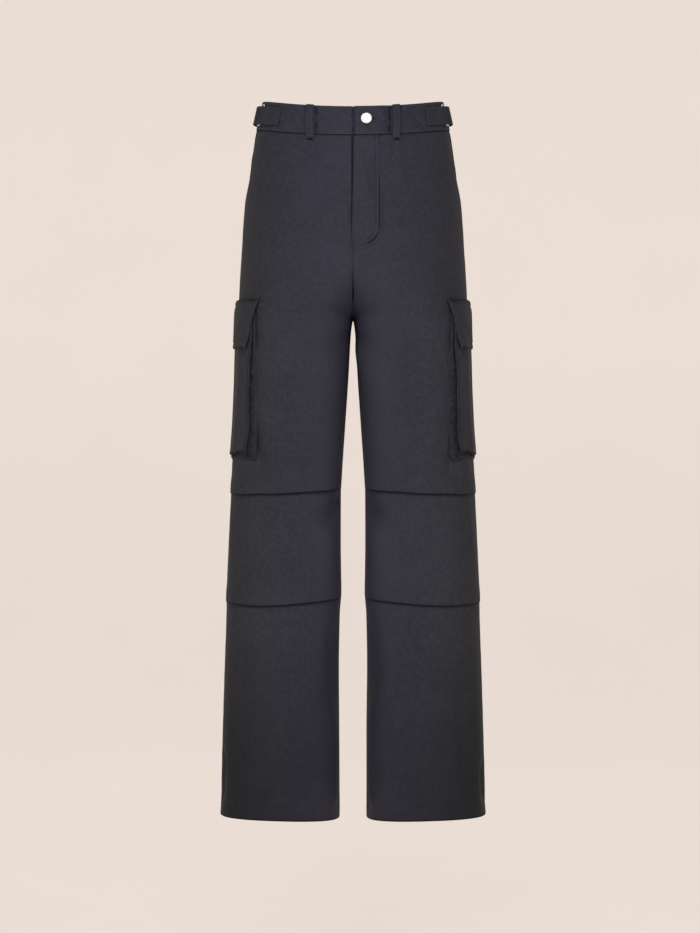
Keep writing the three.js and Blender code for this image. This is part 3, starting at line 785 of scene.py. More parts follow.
def metal_look(name, colour, roughness):
    """Plated metal with faint clouding and small scuffs."""
    look = Look(name, Metallic=1.0)
    body = look.coordinates("Object")
    scuff = look.noise(body, 700, 3.0, 0.6)
    cloud = look.noise(body, 160, 2.0, 0.5)
    look.feed("Base Color", look.mix_colours(cloud * 0.35, (*colour, 1), (0.52, 0.52, 0.53, 1)))
    look.feed("Roughness", scuff.band(0.45, 0.8) * 0.14 + cloud * 0.05 + roughness)
    look.bump(scuff, 0.06, 0.00003)
    return look.material


def tape_look(name):
    look = Look(name, Specular_IOR_Level=0.3)
    across, up, _ = look.parts(look.coordinates("UV"))
    ribs = (up * 5200).sine()
    colour = look.mix_colours(ribs.band(-1, 1), (0.012, 0.0115, 0.014, 1),
                              (0.022, 0.021, 0.026, 1))
    look.feed("Base Color", colour)
    look.feed("Roughness", ribs * 0.05 + 0.7)
    look.bump(ribs + (across * 3000).sine() * 0.3, 0.4, 0.0001)
    return look.material


def look_of(sizes, slot):
    """The look of a material slot, made once; the frame's own plain colours keep other names."""
    name = f"{slot}_look"
    made = bpy.data.materials.get(name)
    if made:
        return made
    if slot == "twill":
        return twill_look(sizes, name)
    # A darker copy of the twill: painted shade for parts that sit in shadow
    if slot == "twill_painted_shade":
        return twill_look(sizes, name, 0.5)
    if slot == "thread":
        return thread_look(sizes, name)
    if slot == "zip_tape":
        return tape_look(name)
    if slot == "ring_metal":
        return metal_look(name, (0.72, 0.72, 0.72), 0.26)
    return metal_look(name, (0.62, 0.62, 0.63), 0.5)


def panel_outs(level, share, row_out, column_out):
    """Tucks flatten towards the seams, and the middle seam closes where it bends under the body."""
    flat = 0.1 + 1.25 * ease(np.minimum(share, 1 - share), 0.01, 0.25)
    tucks = np.where((level < TUCKS[0]["outer"] + 50) & (level > TUCKS[1]["outer"] - 30), flat, 1)
    bend = ease(level, -262, -290) * (1 - ease(level, -312, -317)) * (share > 0.99)
    return row_out * tucks + column_out * (1 - 0.97 * bend)


def laid_piece(sizes, node, side, height, along, out, thickness, look="twill"):
    """A sheet of cloth over a node of the frame, from its places, all on one side of the body."""
    def outward(row, column):
        return normal_at(side, height[row, column], along[row, column]).tolist()

    kind = "tape" if look == "zip_tape" else "cloth"
    cut = np.stack(np.broadcast_arrays(along, height), axis=-1).astype(float)
    cloth(sizes, f"{node}_{kind}", skin(side, height, along, out), cut, outward, look, thickness,
          node)


def panel(sizes, face, name, side):
    front = face == "front"
    rows = panel_rows(face)
    last = FOLD_EDGE if front and side == SIDES["left"] else MIDDLE_EDGE
    columns = panel_columns(PANEL_WIDTH, FRONT_STEP if front else BACK_STEP, SEAM_EDGE, last)
    level, row_out = rows[:, :1], rows[:, 1:]
    share, inset, column_out = columns.T[:, None, :]
    height, along, relief = panel_place(face, side, level, share)
    edge = panel_outs(level, share, row_out, column_out) if front else row_out + column_out
    laid_piece(sizes, f"{face}_{name}", side, height, TURN[face] * (along + inset), edge + relief,
               sizes.cloth_thickness)


def band_along(side, share, height):
    """Distance along the band, and how far out its lapping end is raised."""
    lap = -FLY_SHORT - 1 if side == SIDES["left"] else BAND_UNDERLAP
    front, back = girth(height, "front", -lap), girth(height, "back", 0)
    along = np.where(share >= 0, share * front, share * back)
    middle = girth(height, "front", 0) - along
    raised = BAND_RAISE if side == SIDES["left"] else 0
    return along, raised * ease(middle, BAND_UNDERLAP + 16, BAND_UNDERLAP + 3)


def loop_dents(side, along, height):
    """The band drawn in beside a front belt loop, and at the end of the buttonhole."""
    beside = girth(height, "front", FRONT_LOOP_X) - along
    inner = bell(beside - 8, 2.6) * ease(height, -26, -10)
    hole = girth(height, "front", BUTTON_X) - BUTTONHOLE_END - along
    slit = 1.3 * bell(hole, 2.4) * bell(height + BUTTON_DOWN, 1.8)
    sides = (1.5 * bell(beside + 8, 3.2) + 1.0 * inner) * ease(height, 0, -4)
    return (sides + slit * (side > 0)) * (along > 0)


def waistband(sizes):
    """One strip from the lapping end round the back to the underlap, rounded at its four edges."""
    rows = np.array([
        (-40.2, -1.0), (-40.9, -0.4), (-41, 0.2), (-40.6, 0.65), (-39.6, 0.8), (-38.2, 0.72),
        *[(level, BAND_OUT) for level in stepped(-36, -4.6, 2.0)],
        (-3.2, 0.74), (-2.0, 0.8), (-0.9, 0.7), (-0.25, 0.35), (0, -0.3), (-0.25, -0.95),
        (-0.9, -1.3), (-2, BAND_IN),
        *[(level, BAND_IN) for level in stepped(-6, -36, 5)], (-39.8, -1.35), (-40.8, -1.1)])
    level, row_out = rows.T
    steps = stepped(1, -1, 2 / BAND_COLUMNS)
    path = [(SIDES["left"], share) for share in steps]
    path += [(SIDES["right"], -share) for share in steps[1:]]
    points = np.empty((len(rows), len(path), 3))
    cut = np.empty((len(rows), len(path), 2))
    cut[:, :, 1] = level[:, None]
    run = 0.0
    for k, (side, share) in enumerate(path):
        along, raised = band_along(side, np.full(len(rows), share), level)
        wave = 0.45 * ripple(np.full(len(rows), run), 62, 0.8) + 0.3 * ripple(level + run, 27, 2)
        wave = 2.1 * wave * ease(-level, 0, 12) * ease(-level, 42, 30)
        wave = wave - loop_dents(side, along, level)
        if side == SIDES["right"]:
            wave = wave - 2.2 * ease(girth(level, "front", 0) - along, 3.0, 0.6)
        squeeze = (0.35, 0.85, 1)[min(k, len(path) - 1 - k, 2)]
        points[:, k] = skin(side, level, along, mix(-0.3, row_out, squeeze) + raised + wave)
        if k:
            run += float(np.linalg.norm(points[20, k] - points[20, k - 1])) / MM
        cut[:, k, 0] = run

    def outward(row, column):
        side, share = path[column]
        along, _ = band_along(side, np.array([share]), np.array([-20.0]))
        return (normal_at(side, np.array([-20.0]), along)[0] * -1).tolist()

    cloth(sizes, "waistband_cloth", points, cut, outward, "twill", 0.7, "waistband")


# A belt loop's depth below the band's edge and its rise, and its places across with their rise
LOOP_DOWN = ((0.6, -0.6), (0.2, -0.1), (0.5, 0.25), (1.6, 0.1), (4, 0.6), (8, 1.5), (13, 2.2),
             (19, 2.5), (25, 2.6), (32, 2.3), (38, 1.7), (42, 0.9), (44.5, 0.35), (46.5, 0.1),
             (48.2, 0.15), (49, -0.25), (48.6, -0.6))
LOOP_ACROSS = ((-4.6, -1.1), (-5, -0.6), (-4.75, -0.12), (-4, 0), (-3.3, -0.12), (-2.4, 0.02),
               (-0.8, 0.05), (0.8, 0.05), (2.4, 0.02), (3.3, -0.12), (4, 0), (4.75, -0.12),
               (5, -0.6), (4.6, -1.1))


def loop_along(face, height, x, across):
    """Places across the belt loop that hangs x from the middle."""
    return TURN[face] * (girth(height, face, x) - across)


def belt_loop(sizes, node, side, face, x):
    down, across = np.array(LOOP_DOWN), np.array(LOOP_ACROSS)
    height = np.broadcast_to(-down[:, :1], (len(down), len(across)))
    along = loop_along(face, height, x, across[:, 0][None, :])
    out = LOOP_OUT + down[:, 1:] + across[:, 1][None, :]
    laid_piece(sizes, node, side, height, along, out, 1.0)


def slash_facing(sizes, name, side):
    levels = np.array(stepped(-38.5, -158, 4))[:, None]
    share = np.linspace(0, 1, 22)[None, :]
    along = mix(0.4, slash_edge(levels) + FACING_LAP, share) + levels * 0
    height = np.broadcast_to(levels, along.shape)
    tuck_in = -1.6 * np.exp(-along / 1.1) - 2.2 * ease(height, -44, -39)
    out = -2.0 + 0.25 * ripple(height, 34, side) * (1 - share) + tuck_in
    laid_piece(sizes, f"slash_facing_{name}", side, height, along, out, 0.7)


def fly_zip(sizes):
    """A closed strip with a raised coil, hidden behind the lapped edge."""
    levels = np.array(stepped(-41.6, FLY_END + 6, 2))[:, None]
    across = np.linspace(-ZIP_WIDTH / 2, ZIP_WIDTH / 2, 27)[None, :]
    height = np.broadcast_to(levels, (levels.shape[0], across.shape[1]))
    coil = 0.9 * bell(across, 2.2) * (0.8 + 0.2 * np.cos(height * math.pi))
    laid_piece(sizes, "fly_zip", SIDES["right"], height, girth(height, "front", 0) + across,
               -5.6 + coil, 0.6, "zip_tape")


def strap_rows(corners, step):
    """Points along a strap's path, corners rounded by halving."""
    path = np.array(corners, float)
    for _ in range(2):
        inner = np.stack([path[:-1] * (1 - t) + path[1:] * t for t in (0.25, 0.75)], 1)
        path = np.concatenate((path[:1], inner.reshape(-1, 2), path[-1:]))
    gone = run_of(path)
    even = np.linspace(0, gone[-1], max(2, round(gone[-1] / step)))
    return np.stack([np.interp(even, gone, path[:, k]) for k in (0, 1)], axis=1)


def strap(sizes, node, side, corners, slant, look):
    """A strap of two layers that lies along the band; its edges are stitched flat."""
    path = strap_rows(corners, 1.1)
    edges = ((0.5, 0.8), (0, 0.45), (0.3, 0.1), (1.2, 0), (2.4, -0.1), (3.5, 0))
    middle = [(place, 0.0) for place in stepped(5, STRAP_HEIGHT - 5, 2)]
    across = np.array([*edges, *middle, *[(STRAP_HEIGHT - a, b) for a, b in edges[::-1]]])
    down, rise = across[:, 0][None, :], across[:, 1][None, :] - STRAP_THICK / 2
    tangent = np.gradient(path, axis=0)
    tangent /= np.linalg.norm(tangent, axis=1, keepdims=True)
    along = RING_MIDDLE + path[:, :1] - tangent[:, 1:] * rise
    out = path[:, 1:] + tangent[:, :1] * rise
    near_end = ease(np.arange(len(path)), len(path) - 45, len(path) - 1)[:, None]
    along = along - slant * near_end * down / STRAP_HEIGHT
    height = STRAP_TOP - down + along * 0
    laid_piece(sizes, node, side, height, along, out, STRAP_THICK - 0.2, look)


# Along from the ring's middle, and out
TAB_PATH = ((34, 1.6), (18, 1.6), (7, 1.6), (2.6, 1.6), (1.2, 3.4), (2.6, 5.3), (6, 5.5), (16, 3),
            (28, 2.8), (41, 2.8))
STRAP_PATH = ((-66, 1.6), (-46, 1.6), (-28, 1.6), (-6, 1.6), (-2.6, 1.6), (-1.2, 3.4), (-2.6, 5.3),
              (-6, 6.6), (-18, 7.2), (-30, 6.2), (-41, 3.8), (-50, 2.8))


def seat(bm, side, height, along, out):
    """Moves a thing to its place: its own +Z stands out of the cloth, and its own +Y runs up it."""
    foot = Vector(skin(side, height, along, out).tolist())
    up = (Vector(skin(side, height + 1, along, out).tolist()) - foot).normalized()
    outward = Vector(skin(side, height, along, out + 1).tolist()) - foot
    outward = (outward - up * up.dot(outward)).normalized()
    turn = Matrix((up.cross(outward), up, outward)).transposed().to_4x4()
    bmesh.ops.transform(bm, verts=bm.verts, matrix=Matrix.Translation(foot) @ turn)
    bmesh.ops.recalc_face_normals(bm, faces=bm.faces[:])


def adjuster_ring(sizes, name, side):
    """A flat ring with a window: a plate with round corners, inset, opened, thickened, bevelled."""
    tall = STRAP_HEIGHT + RING_SLACK + 2 * RING_WIRE
    bm = bmesh.new()
    bmesh.ops.create_grid(bm, x_segments=1, y_segments=1, size=0.5)
    bmesh.ops.scale(bm, verts=bm.verts, vec=(RING_WIDTH * MM, tall * MM, 1))
    bmesh.ops.bevel(bm, geom=bm.verts[:], offset=2 * MM, offset_type="OFFSET", segments=6,
                    profile=0.5, affect="VERTICES", material=-1)
    window = bm.faces[:]
    bmesh.ops.inset_region(bm, faces=window, thickness=RING_WIRE * MM, use_boundary=True,
                           use_even_offset=True)
    bmesh.ops.delete(bm, geom=window, context="FACES")
    bmesh.ops.solidify(bm, geom=bm.faces[:], thickness=RING_THICK * MM)
    bmesh.ops.recalc_face_normals(bm, faces=bm.faces[:])
    sharp = [edge for edge in bm.edges if edge.calc_face_angle(0) > 1]
    bmesh.ops.bevel(bm, geom=sharp, offset=0.55 * MM, offset_type="OFFSET", segments=4,
                    profile=0.5, affect="EDGES", material=-1)
    low = min(vert.co.z for vert in bm.verts)
    bmesh.ops.translate(bm, verts=bm.verts, vec=(0, 0, -low))
    seat(bm, side, STRAP_TOP - STRAP_HEIGHT / 2, RING_MIDDLE, RING_OUT)
    piece = mesh_object(f"adjuster_ring_metal_{name}", bm, look_of(sizes, "ring_metal"))
    dress(piece, "ring_metal", f"adjuster_ring_{name}")


def fly_button(sizes):
    """A tack button, turned from its profile: shank, rolled rim and a low dome."""
    profile = ((0, 0), (3, 0), (3, 1.3), (5.5, 1.4), (7.2, 1.7), (7.85, 2.2), (8, 2.6),
               (7.9, 2.95), (7.6, 3.25), (7.1, 3.42), (6.4, 3.46), (5.8, 3.42), (5.2, 3.44),
               (3.0, 3.55), (0, 3.62))
    bm = bmesh.new()
    verts = [bm.verts.new((radius * MM, 0, z * MM)) for radius, z in profile]
    edges = [bm.edges.new(pair) for pair in zip(verts, verts[1:])]
    bmesh.ops.spin(bm, geom=verts + edges, cent=(0, 0, 0), axis=(0, 0, 1), dvec=(0, 0, 0),
                   angle=2 * math.pi, steps=72, use_merge=True)
    bmesh.ops.remove_doubles(bm, verts=bm.verts[:], dist=0.00001)
    seat(bm, SIDES["left"], -BUTTON_DOWN, float(girth(-BUTTON_DOWN, "front", BUTTON_X)),
         BAND_OUT + BUTTON_OUT)
    dress(mesh_object("fly_button_metal", bm, look_of(sizes, "button_metal")), "button_metal",
          "fly_button")


# Folds of the cargo pocket's face: place at the top, slant down the face, depth and width
POCKET_FOLDS = ((-60, 14, 1.5, 8), (-42, 18, -1.3, 10), (52, -12, 1.1, 11), (30, -20, -1.0, 12),
                (-8, -10, 0.8, 14))


def pocket_half(height):
    return mix(POCKET_TOP_HALF, POCKET_HALF, ease(height, -320, -420))


def face_place(side, level, share):
    """Height, along and out of the cargo pocket's face: an empty bag with a crumpled lower edge."""
    down = (level - POCKET_TOP) / (POCKET_BOTTOM - POCKET_TOP)
    half = pocket_half(level)
    place = share * half
    low = ease(level, -478, POCKET_BOTTOM)
    arch = 7 * bell(place - 66, 13) + 4.5 * bell(place + 58, 17) + 3 * bell(place - 8, 30)
    height = level + (arch - 3.5) * low * low
    along = place * (1 - 0.012 * low) + 1.0 * ripple(level, 61, side + 0.4) * np.abs(share) ** 6
    edge = np.minimum(half * (1 - np.abs(share)), level - POCKET_BOTTOM)
    bulge = 0.9 * (1 - share ** 2) * np.sin(math.pi * np.clip(down, 0.02, 1)) ** 0.8
    ridge = 0.75 * bell(edge - 2.2, 2.2) * ease(down, 0.06, 0.2)
    folds = sum(depth * bell(place + at + slant * down, width)
                for at, slant, depth, width in POCKET_FOLDS) * ease(down, 0.1, 0.4)
    curl = 3.4 * low * low * ease(np.abs(share), 0.72, 1) - 1.2 * low * bell(place - 60, 12)
    pucker = (0.5 + 0.3 * low) * np.exp(-edge / 7) * ripple(height + 0.7 * along, 23, side + 2)
    return height, along, POCKET_DEPTH + 1.2 + bulge + ridge + folds + curl + pucker


def pocket_face(sizes, name, side):
    top = ((6, -1.0), (0.2, -0.9), (0, -0.5), (0.3, -0.1), (1.2, 0))
    rows = edged(POCKET_TOP, POCKET_BOTTOM, 3.4, top, FOLD_EDGE)
    columns = edged(-POCKET_HALF, POCKET_HALF, 3.2, FOLD_EDGE, FOLD_EDGE)
    height, along, out = face_place(side, rows[:, :1], columns[:, 0][None, :] / POCKET_HALF)
    out = out + rows[:, 1:] + columns[:, 1][None, :]
    laid_piece(sizes, f"cargo_pocket_face_{name}", side, height, along, out, 0.8)


def rounded_edge(half, low, radius, count=62):
    """From the front top, round the bottom to the back top: along and height."""
    turns = [math.radians(angle) for angle in np.linspace(0, 90, 7)]
    front = [(half, level) for level in np.linspace(POCKET_TOP, low + radius, count)[:-1]]
    front += [(half - radius + radius * math.cos(turn), low + radius - radius * math.sin(turn))
              for turn in turns]
    under = [(along, low) for along in np.linspace(half - radius, radius - half, count)[1:-1]]
    back = [(-along, level) for along, level in reversed(front)]
    return np.array(front + under + back)


# The gusset from its seam on the leg (0) to its edge under the pocket's face (1), and its rise
GUSSET_PROFILE = ((-0.02, -0.5), (0.0, -0.1), (0.03, 0.2), (0.09, 0.35), (0.14, 0.5), (0.2, 0.8),
                  (0.27, 1.2), (0.33, 1.5), (0.39, 1.7), (0.45, 1.8), (0.5, 1.75), (0.55, 1.6),
                  (0.6, 1.5), (0.64, 1.45), (0.72, 1.4), (0.8, 1.4), (0.9, 1.6), (1.0, 1.9))


def pocket_gusset(sizes, name, side):
    """The bellows, folded flat and puckered: its seam on the leg, a soft fold, and the lap."""
    outer = rounded_edge(GUSSET_HALF, GUSSET_LOW, 7)
    share, level = rounded_edge(1.0, POCKET_BOTTOM + GUSSET_LAP, 0.02).T
    run = run_of(outer)[:, None]
    height, along, _ = face_place(side, level, share)
    inner = np.stack((along * (1 - GUSSET_LAP / pocket_half(level)), height), axis=1)
    across, rise = np.array(GUSSET_PROFILE).T[:, None, :]
    middle = np.sin(math.pi * np.clip(across * 1.35, 0, 1))
    wrinkle = 0.75 * ripple(run + 9 * across, 24, 1 + side)
    wrinkle = wrinkle + 0.22 * ripple(run - 5 * across, 11, 4 - side)
    share_in = (across + 0.035 * middle * ripple(run, 19, 2.4))[..., None]
    place = mix(outer[:, None, :], inner[:, None, :], share_in)
    # The bellows take the twill's darker copy: painted shade under the pocket's face
    laid_piece(sizes, f"cargo_pocket_gusset_{name}", side, place[..., 1], place[..., 0],
               rise + middle * (0.3 + wrinkle), 0.7, "twill_painted_shade")


# The flap down its face and up its back: level, out, and half its width
FLAP_ROWS = np.array([
    (-288.9, 0.5, 103.2), (-289.0, 1.6, 103.2), (-289.2, 2.9, 103.1), (-289.8, 4.0, 102.9),
    (-290.9, 4.8, 102.5), (-292.5, 5.2, 102), (-295, 5.3, 101.4), (-297.5, 5.5, 100.6),
    (-300, 5.9, 99.8), (-303, 6.3, 98.9), (-307, 6.7, 97.6), (-312, 6.8, 96.4), (-316, 6.85, 95.2),
    (-320, 6.9, 94.2), (-324, 6.95, 93.2), (-328, 7.0, 92.2), (-332, 7.05, 91.1), (-336, 7.1, 90),
    (-340, 7.2, 88.9), (-344, 7.3, 87.7), (-347.5, 7.4, 86.7), (-350, 7.4, 86), (-352.5, 7.5, 85.3),
    (-354.5, 7.55, 84.7), (-356.4, 7.5, 84.2), (-357, 7.1, 84), (-356.7, 6.6, 84),
    (-355.5, 6.45, 84), (-351, 6.3, 84.8),
])
FLAP_FACE = FLAP_ROWS[:25]


def flap_place(side, level, share, base=None, half=None):
    """Height, along and out of the flap: its front corner hangs lower and lifts."""
    if base is None:
        base, half = (np.interp(-level, -FLAP_FACE[:, 0], FLAP_FACE[:, k]) for k in (1, 2))
    low = ease(level, -300, FLAP_BOTTOM)
    height = level - FLAP_FRONT_DROP * np.maximum(share, 0) ** 2
    height = height + 0.8 * low * ripple(share, 1.1, 2)
    lift = 1.7 * low * np.abs(share) ** 4 + 0.8 * low * ripple(share, 0.9, side + 0.5)
    fold = 1.3 * bell(share - 0.80 + 0.32 * low, 0.06) * ease(level, -298, -325)
    fold = fold - 1.1 * bell(share - 0.64 + 0.28 * low, 0.08) * low
    fold = fold + 0.9 * bell(share + 0.6 - 0.2 * low, 0.1) * low
    curl = 2.2 * ease(level, -340, FLAP_BOTTOM) * ease(np.abs(share), 0.45, 0.95)
    edge = np.minimum(half * (1 - np.abs(share)), level - FLAP_BOTTOM)
    sewn = bell(edge - FLAP_SEWN_IN, 1.5) * ease(level, -294, -300) + bell(level - FLAP_SEWN, 1.5)
    return height, share * half, base + lift + fold + curl - 0.75 * np.clip(sewn, 0, 1)


def pocket_flap(sizes, name, side):
    end = ((3, -1.2), (0.2, -1.0), (0, -0.55), (0.3, -0.12), (1.3, 0))
    place, edge = edged(-98, 98, 2.4, end, end).T[:, None, :]
    level, base, half = FLAP_ROWS.T[:, :, None]
    height, along, out = flap_place(side, level, place / 98, base, half)
    laid_piece(sizes, f"cargo_flap_{name}", side, height, along, out + edge, 0.8)


class Seams:
    """Runs of stitches, joined into one mesh."""

    def __init__(self, sizes):
        self.bm = bmesh.new()
        self.pitch = sizes.stitch_pitch / MM
        self.radius = sizes.thread_radius

    def on_skin(self, side, height, along, out, pitch=None):
        """Stitches along a line of places, standing out of the cloth."""
        height, along, out = arrays(height, along, out)
        points, outward = skin(side, height, along, out), normal_at(side, height, along)
        pitch = (pitch or self.pitch) * MM
        gone = run_of(points)
        count = int(gone[-1] / pitch)
        for k in range(count):
            ends = [(k + part) * pitch + (gone[-1] - count * pitch) / 2 for part in (0.14, 0.86)]
            a, b = (Vector([np.interp(end, gone, points[:, i]) for i in range(3)]) for end in ends)
            middle = (ends[0] + ends[1]) / 2
            up = Vector([np.interp(middle, gone, outward[:, i]) for i in range(3)]).normalized()
            self.stitch(a, b, up)

    def stitch(self, a, b, up):
        forward = b - a
        length = forward.length
        if length < 1e-6:
            return
        forward.normalize()
        across = up.cross(forward).normalized()
        up = forward.cross(across)
        turn = Matrix((forward, across, up)).transposed().to_4x4()
        size = Matrix.Diagonal((length / 2, self.radius, self.radius * 0.8, 1))
        place = Matrix.Translation((a + b) / 2 + up * self.radius * 0.35)
        bmesh.ops.create_icosphere(self.bm, subdivisions=1, radius=1, matrix=place @ turn @ size)

    def on_front(self, side, height, middle, rise, width, pitch=None):
        """Stitches on a front of a given width, from their distances to the middle."""
        along = girth(height, "front", 0) - middle
        out = rise + front_relief(side, along / width, height, along)
        self.on_skin(side, height, along, out, pitch)

    def on_panel(self, side, face, level, share, inset=0.0, rise=0.12):
        """Stitches along a line of a panel's levels and shares."""
        level, share = arrays(level, share)
        height, along, relief = panel_place(face, side, level, share, inset)
        self.on_skin(side, height, TURN[face] * along, rise + relief)


def sew_fly(seams):
    """The fly's curved rows, a bar tack at its top, and the rows beside the middle."""
    for inset in FLY_STITCHES:
        wide, radius, low = fly_line(inset)
        places = [(wide, level) for level in stepped(-44, low + radius * FLY_TALL, 4)]
        for angle in range(6, 91, 6):
            turn = math.radians(angle)
            places.append((wide - radius * (1 - math.cos(turn)),
                           low + radius * FLY_TALL * (1 - math.sin(turn))))
        places += [(across, low) for across in stepped(wide - radius, 0, 2)]
        middle, height = np.array(places).T
        seams.on_front(SIDES["left"], height, middle, 0.12, girth(height, "front", -FLY_LAP))
    for k in range(9):
        height = np.array([-47, -47.4]) - 0.75 * k
        seams.on_front(SIDES["left"], height, np.array([32.5, 39.5]), 0.35,
                       girth(height, "front", 0), 6.9)
    seams.on_panel(SIDES["right"], "front", stepped(-224, -300, 3), 1.0, -2.0)
    height = np.array(stepped(-130, -206, 3))
    seams.on_front(SIDES["right"], height, 6.0, 0.12, girth(height, "front", 0) + 14)


def sew_band(seams):
    """Both long edges, the lapping end, and the buttonhole."""
    for level in (-38.6, -2.6):
        for side in SIDES.values():
            shares = np.array(stepped(0.995 if side > 0 else 0.8, -1, 0.012))
            height = np.full(len(shares), level)
            along, raised = band_along(side, shares, height)
            seams.on_skin(side, height, along, BAND_OUT + raised + 0.05)
    left = SIDES["left"]
    height = np.array(stepped(-3, -38.5, 2))
    along, raised = band_along(left, np.full(len(height), 0.99), height)
    seams.on_skin(left, height, along, BAND_OUT + raised + 0.05)
    middle = float(girth(-BUTTON_DOWN, "front", BUTTON_X))
    top = BAND_OUT + BAND_RAISE + 0.05
    ring = np.array([1.9, 3.4])
    for k in range(26):
        turn = 2 * math.pi * k / 26
        if abs(math.sin(turn / 2)) >= 0.15:
            along = middle - BUTTONHOLE_END - ring * math.cos(turn)
            seams.on_skin(left, -BUTTON_DOWN + ring * math.sin(turn), along, top, 1.45)
    for k in range(30):
        for sign in (-1, 1):
            height = -BUTTON_DOWN + sign * np.array([0.35, 1.9])
            seams.on_skin(left, height, np.full(2, middle - 7.5 + 0.62 * k), top, 1.5)


def sew_loops(seams):
    """Two rows down each belt loop, and a bar tack at each end."""
    loops = [(side, face, x) for side in SIDES.values()
             for face, x in (("front", FRONT_LOOP_X), ("back", BACK_LOOP_X))]
    downs = np.array([*LOOP_DOWN[3:13], (48, 0.15)])
    for side, face, x in [*loops, (SIDES["left"], "back", 0)]:
        lines = [(-np.array(stepped(2, 47.5, 2)), across, -0.1, None) for across in (-3.3, 3.3)]
        lines += [(np.array([level, level - 0.3]) - 0.55 * k, np.array([-3.9, 3.9]), 0.12, 7.7)
                  for level in (-3.2, -45.6) for k in range(7)]
        for height, across, lift, pitch in lines:
            rise = np.interp(-height, downs[:, 0], downs[:, 1])
            along = loop_along(face, height, x, across)
            seams.on_skin(side, height, along, LOOP_OUT + rise + lift, pitch)


def sew_panels(seams):
    """Slash pocket edges, hems, and the bar tacks at the slash pockets' ends."""
    shares = np.array(stepped(0.01, 0.99, 0.012))
    for side in SIDES.values():
        for inset in (1.8, 7.5):
            seams.on_panel(side, "front", stepped(-43.5, SLASH_END + 2, 3), 0.0, inset)
        for k in range(8):
            height = np.array([SLASH_END + 4, SLASH_END + 3.6]) - 0.7 * k
            seams.on_skin(side, height, slash_edge(height) + np.array([1, 8.5]), 0.35, 7.4)
        for face in TURN:
            seams.on_panel(side, face, HEM_TURN - LENGTH, shares, 0.0, -0.1)


def sew_pockets(seams):
    """The gusset's seam on the leg, a row round the face, and the flap's seam and free edges."""
    shares = np.array(stepped(-0.985, 0.985, 0.03))
    low, wide = FLAP_BOTTOM + FLAP_SEWN_IN, 1 - FLAP_SEWN_IN / 94
    rim = [(wide, level) for level in stepped(-296, low, 3)]
    rim += [(share, low) for share in stepped(wide, -wide, 0.03)[1:]]
    rim += [(-wide, level) for level in stepped(low, -296, 3)[1:]]
    for side in SIDES.values():
        along, height = rounded_edge(GUSSET_HALF + 1.8, GUSSET_LOW - 1.8, 8).T
        seams.on_skin(side, height, along, 0.3)
        share, level = rounded_edge(1.0, POCKET_BOTTOM + 2.4, 0.02).T
        height, along, out = face_place(side, level, share * (1 - 2.4 / pocket_half(level)))
        seams.on_skin(side, height, along, out + 0.08)
        for share, level in ((shares, np.full(len(shares), FLAP_SEWN)), np.array(rim).T):
            height, along, out = flap_place(side, level, share)
            seams.on_skin(side, height, along, out + 0.1)


def sew_straps(seams):
    """Rows along the free ends of tab and strap, and across the tips."""
    end, tail = RING_MIDDLE + 38, RING_MIDDLE - 47
    down = np.array(stepped(2.4, STRAP_HEIGHT - 2.4, 2))
    for side in SIDES.values():
        for edge in (2.4, STRAP_HEIGHT - 2.4):
            slanted = end + 4 * edge / STRAP_HEIGHT
            seams.on_skin(side, STRAP_TOP - edge, stepped(RING_MIDDLE + 17, slanted, 2), 3.35)
            seams.on_skin(side, STRAP_TOP - edge, stepped(RING_MIDDLE - 31, tail, 2), 3.4)
        for start in (end, end - 5):
            seams.on_skin(side, STRAP_TOP - down, start + 4 * down / STRAP_HEIGHT, 3.35)
        seams.on_skin(side, STRAP_TOP - down, tail, 3.4)


SEWING = {"fly": sew_fly, "band": sew_band, "loop": sew_loops, "panel": sew_panels,
          "pocket": sew_pockets, "strap": sew_straps}

# The studio, in metres: the sweep's lowest line under the hem, its wall and its bend
SWEEP_DROP, SWEEP_BACK, SWEEP_BEND = 0.55, 5.5, 1.6
SWEEP_FRONT, SWEEP_TOP, SWEEP_HALF = -12.0, 9.0, 14
LIGHT_TARGET = (0, 0, -0.45)
LIGHTS = {  # place, width and height, power, colour
    "key": ((-0.1, -2.9, 1.8), (0.8, 0.6), 62, (1, 0.99, 0.985)),
    "left": ((-2.1, -2.6, 0.5), (0.6, 1.4), 20, (0.95, 0.97, 1)),
    "right": ((1.9, -2.8, 0.2), (0.6, 1.4), 14, (0.95, 0.97, 1)),
    "front": ((0, -4.4, -0.1), (1.2, 1.2), 16, (1, 1, 1)),
}


def build_sweep(sizes, tint):
    """A pale sweep under and behind the garment, which lights itself to stay even."""
    look = Look("backdrop", Roughness=0.9, Specular_IOR_Level=0.1,
                Emission_Strength=sizes.backdrop_glow,
                Base_Color=(*(0.35 * channel for channel in tint[:3]), 1))
    fleck = look.noise(look.coordinates("Object"), 3, 2.0, 0.5)
    look.feed("Emission Color", look.mix_colours(fleck.band(0.2, 0.8) * 0.03, tint, (1, 1, 1, 1)))
    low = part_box("front_left")[0].z - SWEEP_DROP
    places = [(SWEEP_FRONT, low), (SWEEP_BACK - SWEEP_BEND, low)]
    for angle in range(10, 91, 10):
        turn = math.radians(angle)
        places.append((SWEEP_BACK - SWEEP_BEND * (1 - math.sin(turn)),
                       low + SWEEP_BEND * (1 - math.cos(turn))))
    places.append((SWEEP_BACK, SWEEP_TOP))
    bm = bmesh.new()
    verts = [bm.verts.new((-SWEEP_HALF, y, z)) for y, z in places]
    edges = [bm.edges.new(pair) for pair in zip(verts, verts[1:])]
    grown = bmesh.ops.extrude_edge_only(bm, edges=edges)
    moved = [item for item in grown["geom"] if isinstance(item, bmesh.types.BMVert)]
    bmesh.ops.translate(bm, verts=moved, vec=(2 * SWEEP_HALF, 0, 0))
    bmesh.ops.recalc_face_normals(bm, faces=bm.faces[:])
    mesh_object("backdrop", bm, look.material)


